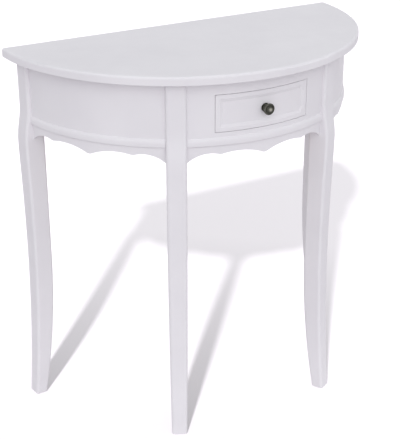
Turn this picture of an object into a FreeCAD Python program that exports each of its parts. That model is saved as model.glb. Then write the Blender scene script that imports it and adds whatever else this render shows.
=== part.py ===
import FreeCAD, Part
import math
import os
import re
import Sketcher

# A half-round side table: board top, bent aprons, four curved legs and one drawer.
# Millimetres and degrees. X runs along the straight back edge, -Y faces the front, +Z is up.
# The origin is on the floor, midway between the back edge and the front of the top.

SIZES = {
    # The top and the whole table
    "top_radius": 400,
    "top_thickness": 18,
    "table_height": 800,
    "top_round": 5,
    "top_under_round": 1.5,
    # The bent aprons under the top
    "top_overhang": 28,
    "apron_thickness": 27,
    "apron_skirt": 34,
    "scallop_rise": 19,
    "scallop_round": 14,
    # The moulding along the aprons
    "bead_gap": 9.3,
    "bead_height": 16.8,
    "bead_projection": 4,
    # The four legs, which stand about the centre and face outwards
    "front_leg_angle": 28.3,
    "rear_leg_angle": 83.9,
    "leg_width": 41,
    "leg_proud": 8,
    "leg_round": 6,
    "knee_start_drop": 92,
    "knee_drop": 177,
    "knee_swell": 9.3,
    "waist_height": 380,
    "waist_offset": 5.8,
    "foot_kick": 24.5,
    "taper_drop": 170,
    "inner_curve_height": 340,
    "foot_width": 33,
    "foot_depth": 27,
    "foot_chamfer": 3,
    # The flat rail at the back
    "rail_setback": 1,
    "rail_thickness": 18,
    "rail_height": 110,
    # The corner blocks behind the legs
    "block_height": 70,
    "block_thickness": 30,
    "block_overlap": 16,
    "block_gap": 8.4,
    "rear_block_overlap": 30,
    # Leg bolts, washers and threaded inserts
    "bolt_diameter": 6,
    "bolt_spacing": 38,
    "bolt_head_across": 10,
    "bolt_head_height": 4,
    "bolt_clearance": 0.5,
    "washer_diameter": 16,
    "washer_thickness": 1.5,
    "insert_diameter": 10,
    "insert_length": 16,
    "insert_end_gap": 1,
    "thread_clearance": 0.1,
    # Wood screws with pan heads
    "screw_diameter": 4,
    "screw_grip": 30,
    "screw_head_diameter": 8,
    "screw_head_height": 3,
    "screw_clearance": 0.1,
    "screw_bite": 12,
    "kicker_screw_sink": 11.5,
    "counterbore_clearance": 1,
    # Dowels in the frame and in the drawer
    "dowel_diameter": 8,
    "dowel_length": 30,
    "dowel_spacing": 60,
    "dowel_clearance": 0.1,
    "small_dowel_diameter": 6,
    "small_dowel_length": 24,
    "small_dowel_bite": 8,
    # The drawer opening and the gaps round the drawer
    "opening_drop": 28.7,
    "drawer_margin": 52.3,
    "drawer_front_height": 75,
    "drawer_gap": 1,
    "slide_clearance": 1,
    "side_clearance": 1.5,
    # The drawer box
    "drawer_side_inset": 9.5,
    "drawer_side_thickness": 12,
    "drawer_side_height": 62,
    "drawer_side_length": 225,
    "drawer_back_thickness": 12,
    "drawer_back_setdown": 6,
    "front_edge_thickness": 10.3,
    "panel_border": 8,
    "panel_bevel": 6.5,
    "panel_depth": 2.5,
    "bevel_foot": 0.2,
    "bottom_thickness": 4,
    "bottom_lift": 6,
    "groove_depth": 5,
    "groove_clearance": 0.2,
    # Runners, kickers and stops
    "runner_thickness": 12,
    "guide_thickness": 12,
    "kicker_width": 18,
    "stop_height": 20,
    "stop_length": 14,
    # The knob and its screw
    "knob_base_diameter": 18,
    "knob_base_height": 2,
    "knob_neck_diameter": 10,
    "knob_neck_height": 5.5,
    "knob_flare_diameter": 21,
    "knob_flare_height": 12,
    "knob_rim_height": 5,
    "knob_rim_recess": 1,
    "knob_dome_diameter": 15,
    "knob_dome_height": 4,
    "knob_seat_depth": 0.3,
    "knob_seat_clearance": 0.3,
    "knob_screw_diameter": 4,
    "knob_screw_bite": 10,
    "knob_bore_gap": 1,
    "pin_diameter": 3,
    "pin_length": 16,
    "pin_head_diameter": 6,
    "pin_head_height": 2,
    "pin_margin": 34,
    # How far every cutting shape runs past the piece that it cuts
    "overrun": 5,
}

# Shape of one half of the scalloped edge, from the middle of a panel to its leg:
# along the edge as shares of its half length, and up as shares of its rise
SCALLOP_ALONG_SHARES = (0.0, 0.6, 1.0)
SCALLOP_UP_SHARES = (0.26, 0.76, 0.0)
ARCH_TOP_SHARES = ((0.385, 1.0), (0.75, 0.95))

# The moulding's rounded edges as a share of its projection, and the knob's rounded rim as a
# share of its rim's height
BEAD_ROUND_SHARE = 0.9
KNOB_RIM_SHARE = 0.6
# Where the knee's hollow curve begins, as a share of the way from the knee to the waist
KNEE_SHARE = 0.17
# Where the two screws of a kicker stand, as shares of its length
KICKER_SCREW_SHARES = (0.25, 0.75)
# Where a drawer joint's two dowels stand, as shares of the drawer side's height
DRAWER_DOWEL_SHARES = (0.35, 0.75)
# How far a corner block's level screws stand from its middle, as shares of its height
FRONT_SCREW_SHARE = -0.3
REAR_SCREW_SHARES = (-0.2, 0.2)

doc = FreeCAD.newDocument("demilune_table")
sheet = doc.addObject("Spreadsheet::Sheet", "Sizes")
for row, (alias, number) in enumerate(SIZES.items(), start=1):
    sheet.set(f"A{row}", alias)
    sheet.set(f"B{row}", str(number))
    sheet.setAlias(f"B{row}", alias)
doc.recompute()

# Sizes that follow from the sheet, as expressions
UNDERSIDE = "(table_height - top_thickness)"
CENTRE = "(top_radius / 2)"
APRON_OUT = "(top_radius - top_overhang)"
APRON_IN = f"({APRON_OUT} - apron_thickness)"
APRON_MIDDLE = f"({APRON_OUT} - apron_thickness / 2)"
OPENING_TOP = f"({UNDERSIDE} - opening_drop)"
OPENING_FOOT = f"({OPENING_TOP} - drawer_front_height - 2 * drawer_gap)"
BEAD_FOOT = f"({OPENING_FOOT} - bead_gap - bead_height)"
APRON_FOOT = f"({BEAD_FOOT} - apron_skirt)"
HALF_LEG = "(leg_width / 2)"
FRONT_ANGLE = "(front_leg_angle * 1 deg)"
REAR_ANGLE = "(rear_leg_angle * 1 deg)"
SIDE_ANGLE = "((front_leg_angle + rear_leg_angle) / 2 * 1 deg)"
SIDE_HALF_ANGLE = "((rear_leg_angle - front_leg_angle) / 2 * 1 deg)"
PANEL_HALF = f"({APRON_OUT} * sin({FRONT_ANGLE} - asin({HALF_LEG} / {APRON_OUT})))"
LEG_REACH = f"({APRON_OUT} + leg_proud)"
LEG_IN = f"sqrt({APRON_IN} ^ 2 - {HALF_LEG} ^ 2)"
LEG_BACK = f"({LEG_IN} * cos({REAR_ANGLE}) - {HALF_LEG} * sin({REAR_ANGLE}))"
RAIL_BACK = f"({LEG_BACK} + rail_setback)"
RAIL_MIDDLE = f"({RAIL_BACK} + rail_thickness / 2)"
RAIL_FACE = f"({RAIL_BACK} + rail_thickness)"
BLOCK_FOOT = f"({UNDERSIDE} - block_height)"
BLOCK_MIDDLE = f"({UNDERSIDE} - block_height / 2)"
HALF_FRONT = f"({PANEL_HALF} - drawer_margin)"
HALF_OPENING = f"({HALF_FRONT} + drawer_gap)"
FRONT_FOOT = f"({OPENING_FOOT} + drawer_gap)"
FRONT_BACK = f"(sqrt({APRON_OUT} ^ 2 - {HALF_FRONT} ^ 2) - front_edge_thickness)"
SIDE_OUT = f"({HALF_FRONT} - drawer_side_inset)"
SIDE_IN = f"({SIDE_OUT} - drawer_side_thickness)"
SIDE_FOOT = f"({FRONT_FOOT} + slide_clearance)"
SIDE_TOP = f"({SIDE_FOOT} + drawer_side_height)"
BOX_BACK = f"({FRONT_BACK} - drawer_side_length)"
BOTTOM_FOOT = f"({SIDE_FOOT} + bottom_lift)"
BOTTOM_TOP = f"({BOTTOM_FOOT} + bottom_thickness)"
GUIDE_IN = f"({SIDE_OUT} + side_clearance)"
GUIDE_OUT = f"({GUIDE_IN} + guide_thickness)"
RUNNER_TOP = f"({SIDE_FOOT} - slide_clearance)"
RUNNER_FOOT = f"({RUNNER_TOP} - runner_thickness)"
KICKER_FOOT = f"({SIDE_TOP} + side_clearance)"
KICKER_GRIP = f"({UNDERSIDE} - {KICKER_FOOT} - kicker_screw_sink)"
RUNNER_GRIP = "(rail_thickness + screw_bite)"
BLOCK_FACE = f"({LEG_IN} - block_thickness)"
BLOCK_NEAR = f"(({BLOCK_FACE} * sin({FRONT_ANGLE}) - {GUIDE_OUT} - block_gap) / cos({FRONT_ANGLE}))"
BLOCK_FAR = f"({HALF_LEG} + block_overlap)"
REAR_BLOCK_FAR = f"({HALF_LEG} + rear_block_overlap)"
KNOB_HEIGHT = f"({FRONT_FOOT} + drawer_front_height / 2)"
FIELD_RADIUS = f"({APRON_OUT} - panel_depth)"
KNOB_SEAT = f"({FIELD_RADIUS} - knob_seat_depth)"

ALIAS = re.compile(r"[a-z][a-z_]*")


def linked(text):
    """An expression with every alias written as a link to the sheet."""
    return ALIAS.sub(lambda word: f"Sizes.{word[0]}" if word[0] in SIZES else word[0], text)


def value(text):
    """What an expression comes to, as a plain number."""
    result = sheet.evalExpression(linked(text))
    return float(getattr(result, "Value", result))


def bind(thing, prop, text):
    """Ties a property to the sheet."""
    thing.setExpression(prop, linked(text))


# Sketches and features

def new_body(label, frame=None):
    body = doc.addObject("PartDesign::Body", label)
    body.Label = label
    body.Placement = frame or CENTRE_FRAME
    return body


def new_sketch(body, name, role, lift=None):
    """A sketch on one of the body's origin planes, lifted along the plane's normal."""
    sketch = body.newObject("Sketcher::SketchObject", f"{body.Name}_{name}")
    plane = [feature for feature in body.Origin.OriginFeatures if feature.Role == role][0]
    sketch.AttachmentSupport = [(plane, "")]
    sketch.MapMode = "FlatFace"
    if lift:
        bind(sketch, "AttachmentOffset.Base.z", lift)
    return sketch


def arc_between(start, end, radius, turn):
    """The short arc of a radius between two points. It bulges to the right (turn -1) or to
    the left (turn 1) of the way from start to end."""
    chord = end - start
    left = FreeCAD.Vector(-chord.y, chord.x, 0).normalize()
    reach = math.sqrt(max(radius ** 2 - (chord.Length / 2) ** 2, 0))
    middle = (start + end) * 0.5 - left * (turn * reach)
    first, last = (start, end) if turn < 0 else (end, start)
    angles = [math.atan2(point.y - middle.y, point.x - middle.x) for point in (first, last)]
    circle = Part.Circle(middle, FreeCAD.Vector(0, 0, 1), radius)
    return Part.ArcOfCircle(circle, angles[0], angles[1])


def outline(sketch, corners):
    """Draws one closed outline. A corner is x and y, and where an arc starts there, also the
    arc's radius and the side to which it bulges."""
    points = [FreeCAD.Vector(value(corner[0]), value(corner[1]), 0) for corner in corners]
    count = len(corners)
    base = sketch.GeometryCount
    ends = []
    for index, corner in enumerate(corners):
        start = points[index]
        end = points[(index + 1) % count]
        if len(corner) == 2:
            sketch.addGeometry(Part.LineSegment(start, end))
            ends.append((1, 2))
        else:
            turn = corner[3]
            sketch.addGeometry(arc_between(start, end, value(corner[2]), turn))
            ends.append((1, 2) if turn < 0 else (2, 1))
    for index in range(count):
        following = (index + 1) % count
        sketch.addConstraint(Sketcher.Constraint(
            "Coincident", base + index, ends[index][1], base + following, ends[following][0]))
    for index, corner in enumerate(corners):
        for kind, text, number in (("DistanceX", corner[0], points[index].x),
                                   ("DistanceY", corner[1], points[index].y)):
            fixed = sketch.addConstraint(Sketcher.Constraint(
                kind, -1, 1, base + index, ends[index][0], number))
            tie(sketch, fixed, text)
        if len(corner) > 2:
            fixed = sketch.addConstraint(Sketcher.Constraint("Radius", base + index, value(corner[2])))
            tie(sketch, fixed, corner[2])


def tie(sketch, index, text):
    """Names a constraint and ties it to the sheet."""
    name = f"size_{index}"
    sketch.renameConstraint(index, name)
    if ALIAS.search(text):
        bind(sketch, f"Constraints.{name}", text)


def pad(sketch, length, symmetric=False):
    body = sketch.getParentGeoFeatureGroup()
    feature = body.newObject("PartDesign::Pad", f"{sketch.Name}_pad")
    feature.Profile = sketch
    feature.SideType = "Symmetric" if symmetric else "One side"
    bind(feature, "Length", length)
    sketch.Visibility = False
    doc.recompute()
    return feature


def pocket(sketch, length=None, toward_normal=False):
    """Cuts a sketch away, right through both ways or for a length, and makes sure that it cut."""
    body = sketch.getParentGeoFeatureGroup()
    before = body.Shape.Volume
    feature = body.newObject("PartDesign::Pocket", f"{sketch.Name}_pocket")
    feature.Profile = sketch
    if length:
        feature.Type = "Length"
        feature.Reversed = toward_normal
        bind(feature, "Length", length)
    else:
        feature.Type = "ThroughAll"
        feature.SideType = "Symmetric"
    doc.recompute()
    if not body.Shape.Volume < before:
        raise ValueError(f"{feature.Name} cut nothing")
    return feature


def dress(body, kind, sizes, wanted):
    """A fillet or chamfer on the edges of the body's last feature that are wanted."""
    base = body.Tip
    names = [f"Edge{number}" for number, edge in enumerate(base.Shape.Edges, start=1) if wanted(edge)]
    if not names:
        raise ValueError(f"{body.Label} has no edge for its {kind}")
    feature = body.newObject(f"PartDesign::{kind}", f"{body.Name}_{kind}_{len(body.Group)}")
    feature.Base = (base, names)
    if "Size2" in sizes:
        feature.ChamferType = "Two distances"
    for prop, text in sizes.items():
        bind(feature, prop, text)
    doc.recompute()
    return feature


def near(first, second):
    return math.isclose(first, second, abs_tol=NEAR)


def level(edge):
    """The height of a level edge, or None."""
    box = edge.BoundBox
    return box.ZMin if near(box.ZMin, box.ZMax) else None


def radius_of(edge):
    """How far the middle of an edge is from its body's upright axis."""
    middle = edge.valueAt((edge.FirstParameter + edge.LastParameter) / 2)
    return math.hypot(middle.x, middle.y)


# Frames, fasteners and holes

NEAR = 1e-4 * value("top_thickness")
UP = FreeCAD.Vector(0, 0, 1)
FACING = {
    "up": FreeCAD.Rotation(),
    "out": FreeCAD.Rotation(FreeCAD.Vector(1, 0, 0), 90),
    "in": FreeCAD.Rotation(FreeCAD.Vector(1, 0, 0), -90),
    "right": FreeCAD.Rotation(FreeCAD.Vector(0, 1, 0), 90),
    "left": FreeCAD.Rotation(FreeCAD.Vector(0, 1, 0), -90),
}


def frame_at(turn, along):
    """A frame on the table's middle plane, turned about the upright, whose -Y points outwards."""
    return FreeCAD.Placement(FreeCAD.Vector(0, value(along), 0), FreeCAD.Rotation(UP, turn))


CENTRE_FRAME = frame_at(0, CENTRE)
FRONT_TURN = value("front_leg_angle")
REAR_TURN = value("rear_leg_angle")
LEG_FRAMES = {
    "front_left": frame_at(-FRONT_TURN, CENTRE),
    "front_right": frame_at(FRONT_TURN, CENTRE),
    "rear_left": frame_at(-REAR_TURN, CENTRE),
    "rear_right": frame_at(REAR_TURN, CENTRE),
}
# In a rear leg's frame the front of the table lies this way along X
FRONTWARD = {"rear_left": 1, "rear_right": -1}
SIDES = {"left": -1, "right": 1}
# In a front leg's frame the drawer lies the other way along X
OUTWARD_SIDE = {"front_left": -1, "front_right": 1}


def seat(frame, x, y, z, facing):
    """A place in a frame, whose own Z axis faces the given way."""
    point = FreeCAD.Vector(value(x), value(y), value(z))
    return frame.multiply(FreeCAD.Placement(point, FACING[facing]))


def rod(place, diameter, length, start="0"):
    """A cylinder along a place's axis, from a start on that axis."""
    cylinder = doc.addObject("Part::Cylinder", "rod")
    bind(cylinder, "Radius", f"({diameter}) / 2")
    bind(cylinder, "Height", length)
    cylinder.Placement = place.multiply(FreeCAD.Placement(UP * value(start), FreeCAD.Rotation()))
    return cylinder


def fuse(pieces):
    joined = doc.addObject("Part::MultiFuse", "joined")
    joined.Shapes = pieces
    return joined


def screw(place, diameter, length, head_diameter, head_height):
    """A screw whose head's underside lies at its place."""
    shank = rod(place, diameter, length)
    head = rod(place, head_diameter, head_height, f"-({head_height})")
    return fuse([shank, head])


def wood_screw(place, grip):
    """A wood screw that passes through a grip and then bites."""
    return screw(place, "screw_diameter", f"{grip} + screw_bite",
                 "screw_head_diameter", "screw_head_height")


def screw_bore(place, grip):
    """The bore that a wood screw fills, from under its head to its tip."""
    return rod(place, "screw_diameter + 2 * screw_clearance", f"{grip} + screw_bite + screw_clearance")


def screw_way(place, grip):
    """A bore right through the piece that a wood screw grips."""
    return rod(place, "screw_diameter + 2 * screw_clearance", f"{grip} + 2 * overrun", "-overrun")


def sunk_screw_way(place, grip, sink):
    """The same with a well for the screw's head."""
    well = rod(place, "screw_head_diameter + 2 * counterbore_clearance",
               f"{sink} + overrun", f"-({sink} + overrun)")
    return fuse([screw_way(place, grip), well])


def dowel_hole(place, diameter, length):
    return rod(place, f"{diameter} + 2 * dowel_clearance", f"{length} + dowel_clearance",
               f"-({length} + dowel_clearance) / 2")


def group(label, members):
    """Separate pieces of one kind that share a node."""
    whole = doc.addObject("Part::Compound", label)
    whole.Links = members
    return finish(whole, label)


def drill(label, piece, holes):
    """The piece with its holes cut."""
    cut = doc.addObject("Part::Cut", label)
    piece.Label = f"{label}_blank"
    cut.Base = piece
    cut.Tool = holes[0] if len(holes) == 1 else fuse(holes)
    return finish(cut, label)


NODES = []


def finish(piece, label):
    piece.Label = label
    NODES.append(piece)
    return piece


# Places of the fasteners, used for the pieces themselves and for their holes

def rail_line(depth, radius):
    """How far in front of a rear leg's middle a line of the back rail lies, at a radius. The
    line's depth is counted from the back edge of the top."""
    return f"(({depth} - {radius} * cos({REAR_ANGLE})) / sin({REAR_ANGLE}))"


def bolt_across(name):
    """Where a leg's bolts stand across it: behind a front leg's middle, or beside the back rail."""
    if name.startswith("front"):
        return "0"
    return f"{FRONTWARD[name]} * ({rail_line(RAIL_FACE, BLOCK_FACE)} + {HALF_LEG}) / 2"


def bolt_places(name):
    return [seat(LEG_FRAMES[name], bolt_across(name), f"-{BLOCK_FACE}",
                 f"{BLOCK_MIDDLE} + {step} * bolt_spacing / 2", "out") for step in (-1, 1)]


def insert_places(name):
    return [seat(LEG_FRAMES[name], bolt_across(name), f"-{LEG_IN}",
                 f"{BLOCK_MIDDLE} + {step} * bolt_spacing / 2", "out") for step in (-1, 1)]


def apron_dowel_places(name):
    """Two dowels in each side of a leg that meets an apron, centred on the joint."""
    heights = [BLOCK_MIDDLE, f"{BLOCK_MIDDLE} - dowel_spacing"]
    radial = f"-sqrt({APRON_MIDDLE} ^ 2 - {HALF_LEG} ^ 2)"
    ways = (-1, 1) if name.startswith("front") else (FRONTWARD[name],)
    return {way: [seat(LEG_FRAMES[name], f"{way} * {HALF_LEG}", radial, height, "right")
                  for height in heights] for way in ways}


def rail_dowel_places(name):
    across = f"{FRONTWARD[name]} * {rail_line(RAIL_MIDDLE, LEG_IN)}"
    heights = [f"{UNDERSIDE} - rail_height / 2 + {step} * dowel_spacing / 2" for step in (-1, 1)]
    return [seat(LEG_FRAMES[name], across, f"-{LEG_IN}", height, "out") for height in heights]


def top_screw_place(name):
    """The upright screw from a corner block into the top. In a rear block it stands midway
    between the bolts and the level screws."""
    if name.startswith("front"):
        across = f"{OUTWARD_SIDE[name]} * (washer_diameter / 2 + screw_head_diameter)"
    else:
        across = f"({bolt_across(name)} + {rear_screw_across(name)}) / 2"
    return seat(LEG_FRAMES[name], across, f"-({LEG_IN} - block_thickness / 2)",
                f"{UNDERSIDE} - screw_grip", "up")


def rear_screw_across(name):
    """Where a rear block's level screws stand across: in the middle of its part behind the apron."""
    return f"{FRONTWARD[name]} * ({HALF_LEG} + {REAR_BLOCK_FAR}) / 2"


def block_half(name, way):
    """How far a front block reaches across from its leg's middle, to the given side."""
    return BLOCK_FAR if way == OUTWARD_SIDE[name] else BLOCK_NEAR


def block_screw_places(name):
    """The level screws from a corner block into the aprons."""
    face = f"-{BLOCK_FACE}"
    if name.startswith("front"):
        height = f"{BLOCK_MIDDLE} + {FRONT_SCREW_SHARE} * block_height"
        return [seat(LEG_FRAMES[name], f"{way} * ({HALF_LEG} + {block_half(name, way)}) / 2", face,
                     height, "out") for way in (-1, 1)]
    return [seat(LEG_FRAMES[name], rear_screw_across(name), face,
                 f"{BLOCK_MIDDLE} + {share} * block_height", "out") for share in REAR_SCREW_SHARES]


def runner_screw_places(side):
    """Screws through the back rail into the ends of a runner and its kicker."""
    way = SIDES[side]
    kicker_middle = f"{way} * ({SIDE_OUT} - drawer_side_thickness / 2)"
    guide_middle = f"{way} * ({GUIDE_IN} + guide_thickness / 2)"
    return [
        seat(CENTRE_FRAME, guide_middle, f"-{RAIL_BACK}", f"{SIDE_FOOT} + drawer_side_height / 2", "out"),
        seat(CENTRE_FRAME, kicker_middle, f"-{RAIL_BACK}", f"({KICKER_FOOT} + {UNDERSIDE}) / 2", "out"),
    ]


def kicker_screw_places(side):
    across = f"{SIDES[side]} * ({SIDE_OUT} - drawer_side_thickness / 2)"
    return [seat(CENTRE_FRAME, across, f"-({RAIL_FACE} + {share} * ({FRONT_BACK} - {RAIL_FACE}))",
                 f"{KICKER_FOOT} + kicker_screw_sink", "up") for share in KICKER_SCREW_SHARES]


def runner_dowel_place(side):
    """The dowel between a runner's front end and the apron below the opening."""
    across = f"({SIDE_OUT} + side_clearance / 2)"
    return seat(CENTRE_FRAME, f"{SIDES[side]} * {across}", f"-sqrt({APRON_IN} ^ 2 - {across} ^ 2)",
                f"{RUNNER_FOOT} + (runner_thickness - drawer_gap) / 2", "in")


def drawer_dowel_places(side):
    """Dowels at the two ends of a drawer side: into the drawer front and into the drawer back."""
    way = SIDES[side]
    middle = f"{way} * ({SIDE_OUT} - drawer_side_thickness / 2)"
    heights = [f"{SIDE_FOOT} + {share} * drawer_side_height" for share in DRAWER_DOWEL_SHARES]
    front = [seat(CENTRE_FRAME, middle, f"-{FRONT_BACK}", height, "in") for height in heights]
    inward = "left" if way > 0 else "right"
    back_line = f"-({BOX_BACK} + drawer_back_thickness / 2)"
    back = [seat(CENTRE_FRAME, f"{way} * {SIDE_IN}", back_line, height, inward) for height in heights]
    return front, back


def small_dowel(place):
    return rod(place, "small_dowel_diameter", "small_dowel_length", "-small_dowel_bite")


def small_dowel_hole(place):
    return rod(place, "small_dowel_diameter + 2 * dowel_clearance",
               "small_dowel_length + 2 * dowel_clearance", "-(small_dowel_bite + dowel_clearance)")


def frame_dowel(place):
    return rod(place, "dowel_diameter", "dowel_length", "-dowel_length / 2")


def frame_dowel_hole(place):
    return dowel_hole(place, "dowel_diameter", "dowel_length")


def pin_places():
    """Small screws from the drawer bottom up into the drawer back."""
    line = f"-({BOX_BACK} + drawer_back_thickness / 2)"
    across = f"({SIDE_IN} - pin_margin)"
    return [seat(CENTRE_FRAME, f"{step} * {across}", line, BOTTOM_FOOT, "up") for step in (-1, 0, 1)]


def knob_place():
    """The middle of the knob's seat on the sunk panel, facing out."""
    return seat(CENTRE_FRAME, "0", f"-{KNOB_SEAT}", KNOB_HEIGHT, "out")


def knob_screw_place():
    """The middle of the drawer front's inner face, facing out."""
    return seat(CENTRE_FRAME, "0", f"-{FRONT_BACK}", KNOB_HEIGHT, "out")


# The pieces

def make_top():
    body = new_body("table_top_board")
    sketch = new_sketch(body, "plan", "XY_Plane", UNDERSIDE)
    outline(sketch, [
        ("-top_radius", "0"),
        ("top_radius", "0", "top_radius", 1),
        ("0", "-top_radius", "top_radius", 1),
    ])
    pad(sketch, "top_thickness")
    rim = value("top_radius")
    for radius, height in (("top_round", "table_height"), ("top_under_round", UNDERSIDE)):
        lip = value(height)
        dress(body, "Fillet", {"Radius": radius},
              lambda edge: level(edge) is not None and near(level(edge), lip) and near(radius_of(edge), rim))
    holes = [screw_bore(top_screw_place(name), "screw_grip") for name in LEG_FRAMES]
    for side in SIDES:
        holes += [screw_bore(place, KICKER_GRIP) for place in kicker_screw_places(side)]
    drill("table_top", body, holes)


def on_circle(radius, angle):
    """A corner at a radius and at an angle from the frame's outward direction."""
    return f"{radius} * sin({angle})", f"-{radius} * cos({angle})"


def panel_end(half_angle, radius):
    """The angle at which the side of a leg, half an angle away, cuts a circle about the centre."""
    return f"({half_angle} - asin({HALF_LEG} / {radius}))"


# For each apron, its turn about the centre, half the angle between its legs, and the leg at each
# end, left and right seen from outside, with the side of it that the apron meets
SIDE_TURN = value(SIDE_ANGLE)
PANELS = {
    "front": (0, FRONT_ANGLE, ("front_left", 1), ("front_right", -1)),
    "left": (-SIDE_TURN, SIDE_HALF_ANGLE, ("rear_left", 1), ("front_left", -1)),
    "right": (SIDE_TURN, SIDE_HALF_ANGLE, ("front_right", 1), ("rear_right", -1)),
}


def bent_strip(body, half_angle, inner, outer, foot, height):
    """A strip bent about the centre, whose ends lie flat against the legs."""
    outer_end = panel_end(half_angle, outer)
    inner_end = panel_end(half_angle, inner)
    sketch = new_sketch(body, "plan", "XY_Plane", foot)
    outline(sketch, [
        (*on_circle(outer, f"(-{outer_end})"), outer, -1),
        on_circle(outer, outer_end),
        (*on_circle(inner, inner_end), inner, 1),
        on_circle(inner, f"(-{inner_end})"),
    ])
    pad(sketch, height)


def three_point_radius(first, second, third):
    """The radius of the circle through three points."""
    sides = [(second - first).Length, (third - second).Length, (first - third).Length]
    area = (second - first).cross(third - first).Length / 2
    return sides[0] * sides[1] * sides[2] / (4 * area)


def scallop_arches(half_angle):
    """The corners of the right half of the scalloped edge, and each arch's radius as a share of
    the half length."""
    along = f"({APRON_OUT} * sin({panel_end(half_angle, APRON_OUT)}))"
    corners = [(f"{share} * {along}", f"{APRON_FOOT} + {up} * scallop_rise")
               for share, up in zip(SCALLOP_ALONG_SHARES, SCALLOP_UP_SHARES)]
    radii = []
    for number, (share, up) in enumerate(ARCH_TOP_SHARES):
        crown = FreeCAD.Vector(share * value(along), value(APRON_FOOT) + up * value("scallop_rise"), 0)
        start, end = [FreeCAD.Vector(value(x), value(y), 0) for x, y in corners[number:number + 2]]
        radii.append(f"{three_point_radius(start, crown, end) / value(along)} * {along}")
    return corners, radii


def make_apron(side):
    turn, half_angle, left_leg, right_leg = PANELS[side]
    body = new_body(f"{side}_apron_panel", frame_at(turn, CENTRE))
    bent_strip(body, half_angle, APRON_IN, APRON_OUT, APRON_FOOT, f"{UNDERSIDE} - {APRON_FOOT}")
    corners, radii = scallop_arches(half_angle)
    below = f"{APRON_FOOT} - overrun"
    half = corners[-1][0]
    sketch = new_sketch(body, "scallop", "XZ_Plane")
    outline(sketch, [
        (f"-({half})", corners[2][1], radii[1], 1),
        (f"-({corners[1][0]})", corners[1][1], radii[0], 1),
        (corners[0][0], corners[0][1], radii[0], 1),
        (corners[1][0], corners[1][1], radii[1], 1),
        (half, corners[2][1]),
        (half, below),
        (f"-({half})", below),
    ])
    pocket(sketch)
    cusps = [value(x) for x, _ in corners[:2]]
    dress(body, "Fillet", {"Radius": "scallop_round"}, lambda edge: is_cusp(edge, cusps))
    if side == "front":
        opening = new_sketch(body, "opening", "XZ_Plane")
        outline(opening, [
            (f"-{HALF_OPENING}", OPENING_FOOT),
            (HALF_OPENING, OPENING_FOOT),
            (HALF_OPENING, OPENING_TOP),
            (f"-{HALF_OPENING}", OPENING_TOP),
        ])
        pocket(opening)
    holes = []
    for leg, way in (left_leg, right_leg):
        holes += [frame_dowel_hole(place) for place in apron_dowel_places(leg)[way]]
    for name in screwed_legs(side):
        holes += [screw_bore(place, "block_thickness") for place in block_screw_places(name)]
    if side == "front":
        holes += [small_dowel_hole(runner_dowel_place(way)) for way in SIDES]
    drill(f"{side}_apron", body, holes)


def screwed_legs(side):
    """The legs whose corner blocks are screwed to an apron."""
    if side == "front":
        return ["front_left", "front_right"]
    return [f"front_{side}", f"rear_{side}"]


def is_cusp(edge, cusps):
    """Whether an edge runs through the panel at one of the scallop's points."""
    ends = [vertex.Point for vertex in edge.Vertexes]
    straight_through = len(ends) == 2 and near(ends[0].x, ends[1].x) and near(ends[0].z, ends[1].z)
    return straight_through and any(near(abs(ends[0].x), cusp) for cusp in cusps)


def make_bead(side):
    turn, half_angle, _, _ = PANELS[side]
    label = f"{side}_bead"
    body = new_body(label, frame_at(turn, CENTRE))
    outer = f"({APRON_OUT} + bead_projection)"
    bent_strip(body, half_angle, APRON_OUT, outer, BEAD_FOOT, "bead_height")
    rim = value(outer)
    dress(body, "Fillet", {"Radius": f"{BEAD_ROUND_SHARE} * bead_projection"},
          lambda edge: level(edge) is not None and near(radius_of(edge), rim))
    finish(body, label)


def s_curve(start, end, share):
    """The two arcs between upright tangents at start and end: the point where they meet, and
    both radii. Points are across and height."""
    across = f"(({end[0]}) - ({start[0]}))"
    rise = f"(({end[1]}) - ({start[1]}))"
    both = f"(({across} ^ 2 + {rise} ^ 2) / (2 * abs({across})))"
    meeting = (f"({start[0]}) + {share} * {across}", f"({start[1]}) + {share} * {rise}")
    return meeting, f"{share} * {both}", f"{1 - share} * {both}"


def quarter_curve(start, end):
    """The radius of an arc that is upright at one of its two ends."""
    across = f"(({end[0]}) - ({start[0]}))"
    rise = f"(({end[1]}) - ({start[1]}))"
    return f"(({across} ^ 2 + {rise} ^ 2) / (2 * abs({across})))"


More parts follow.
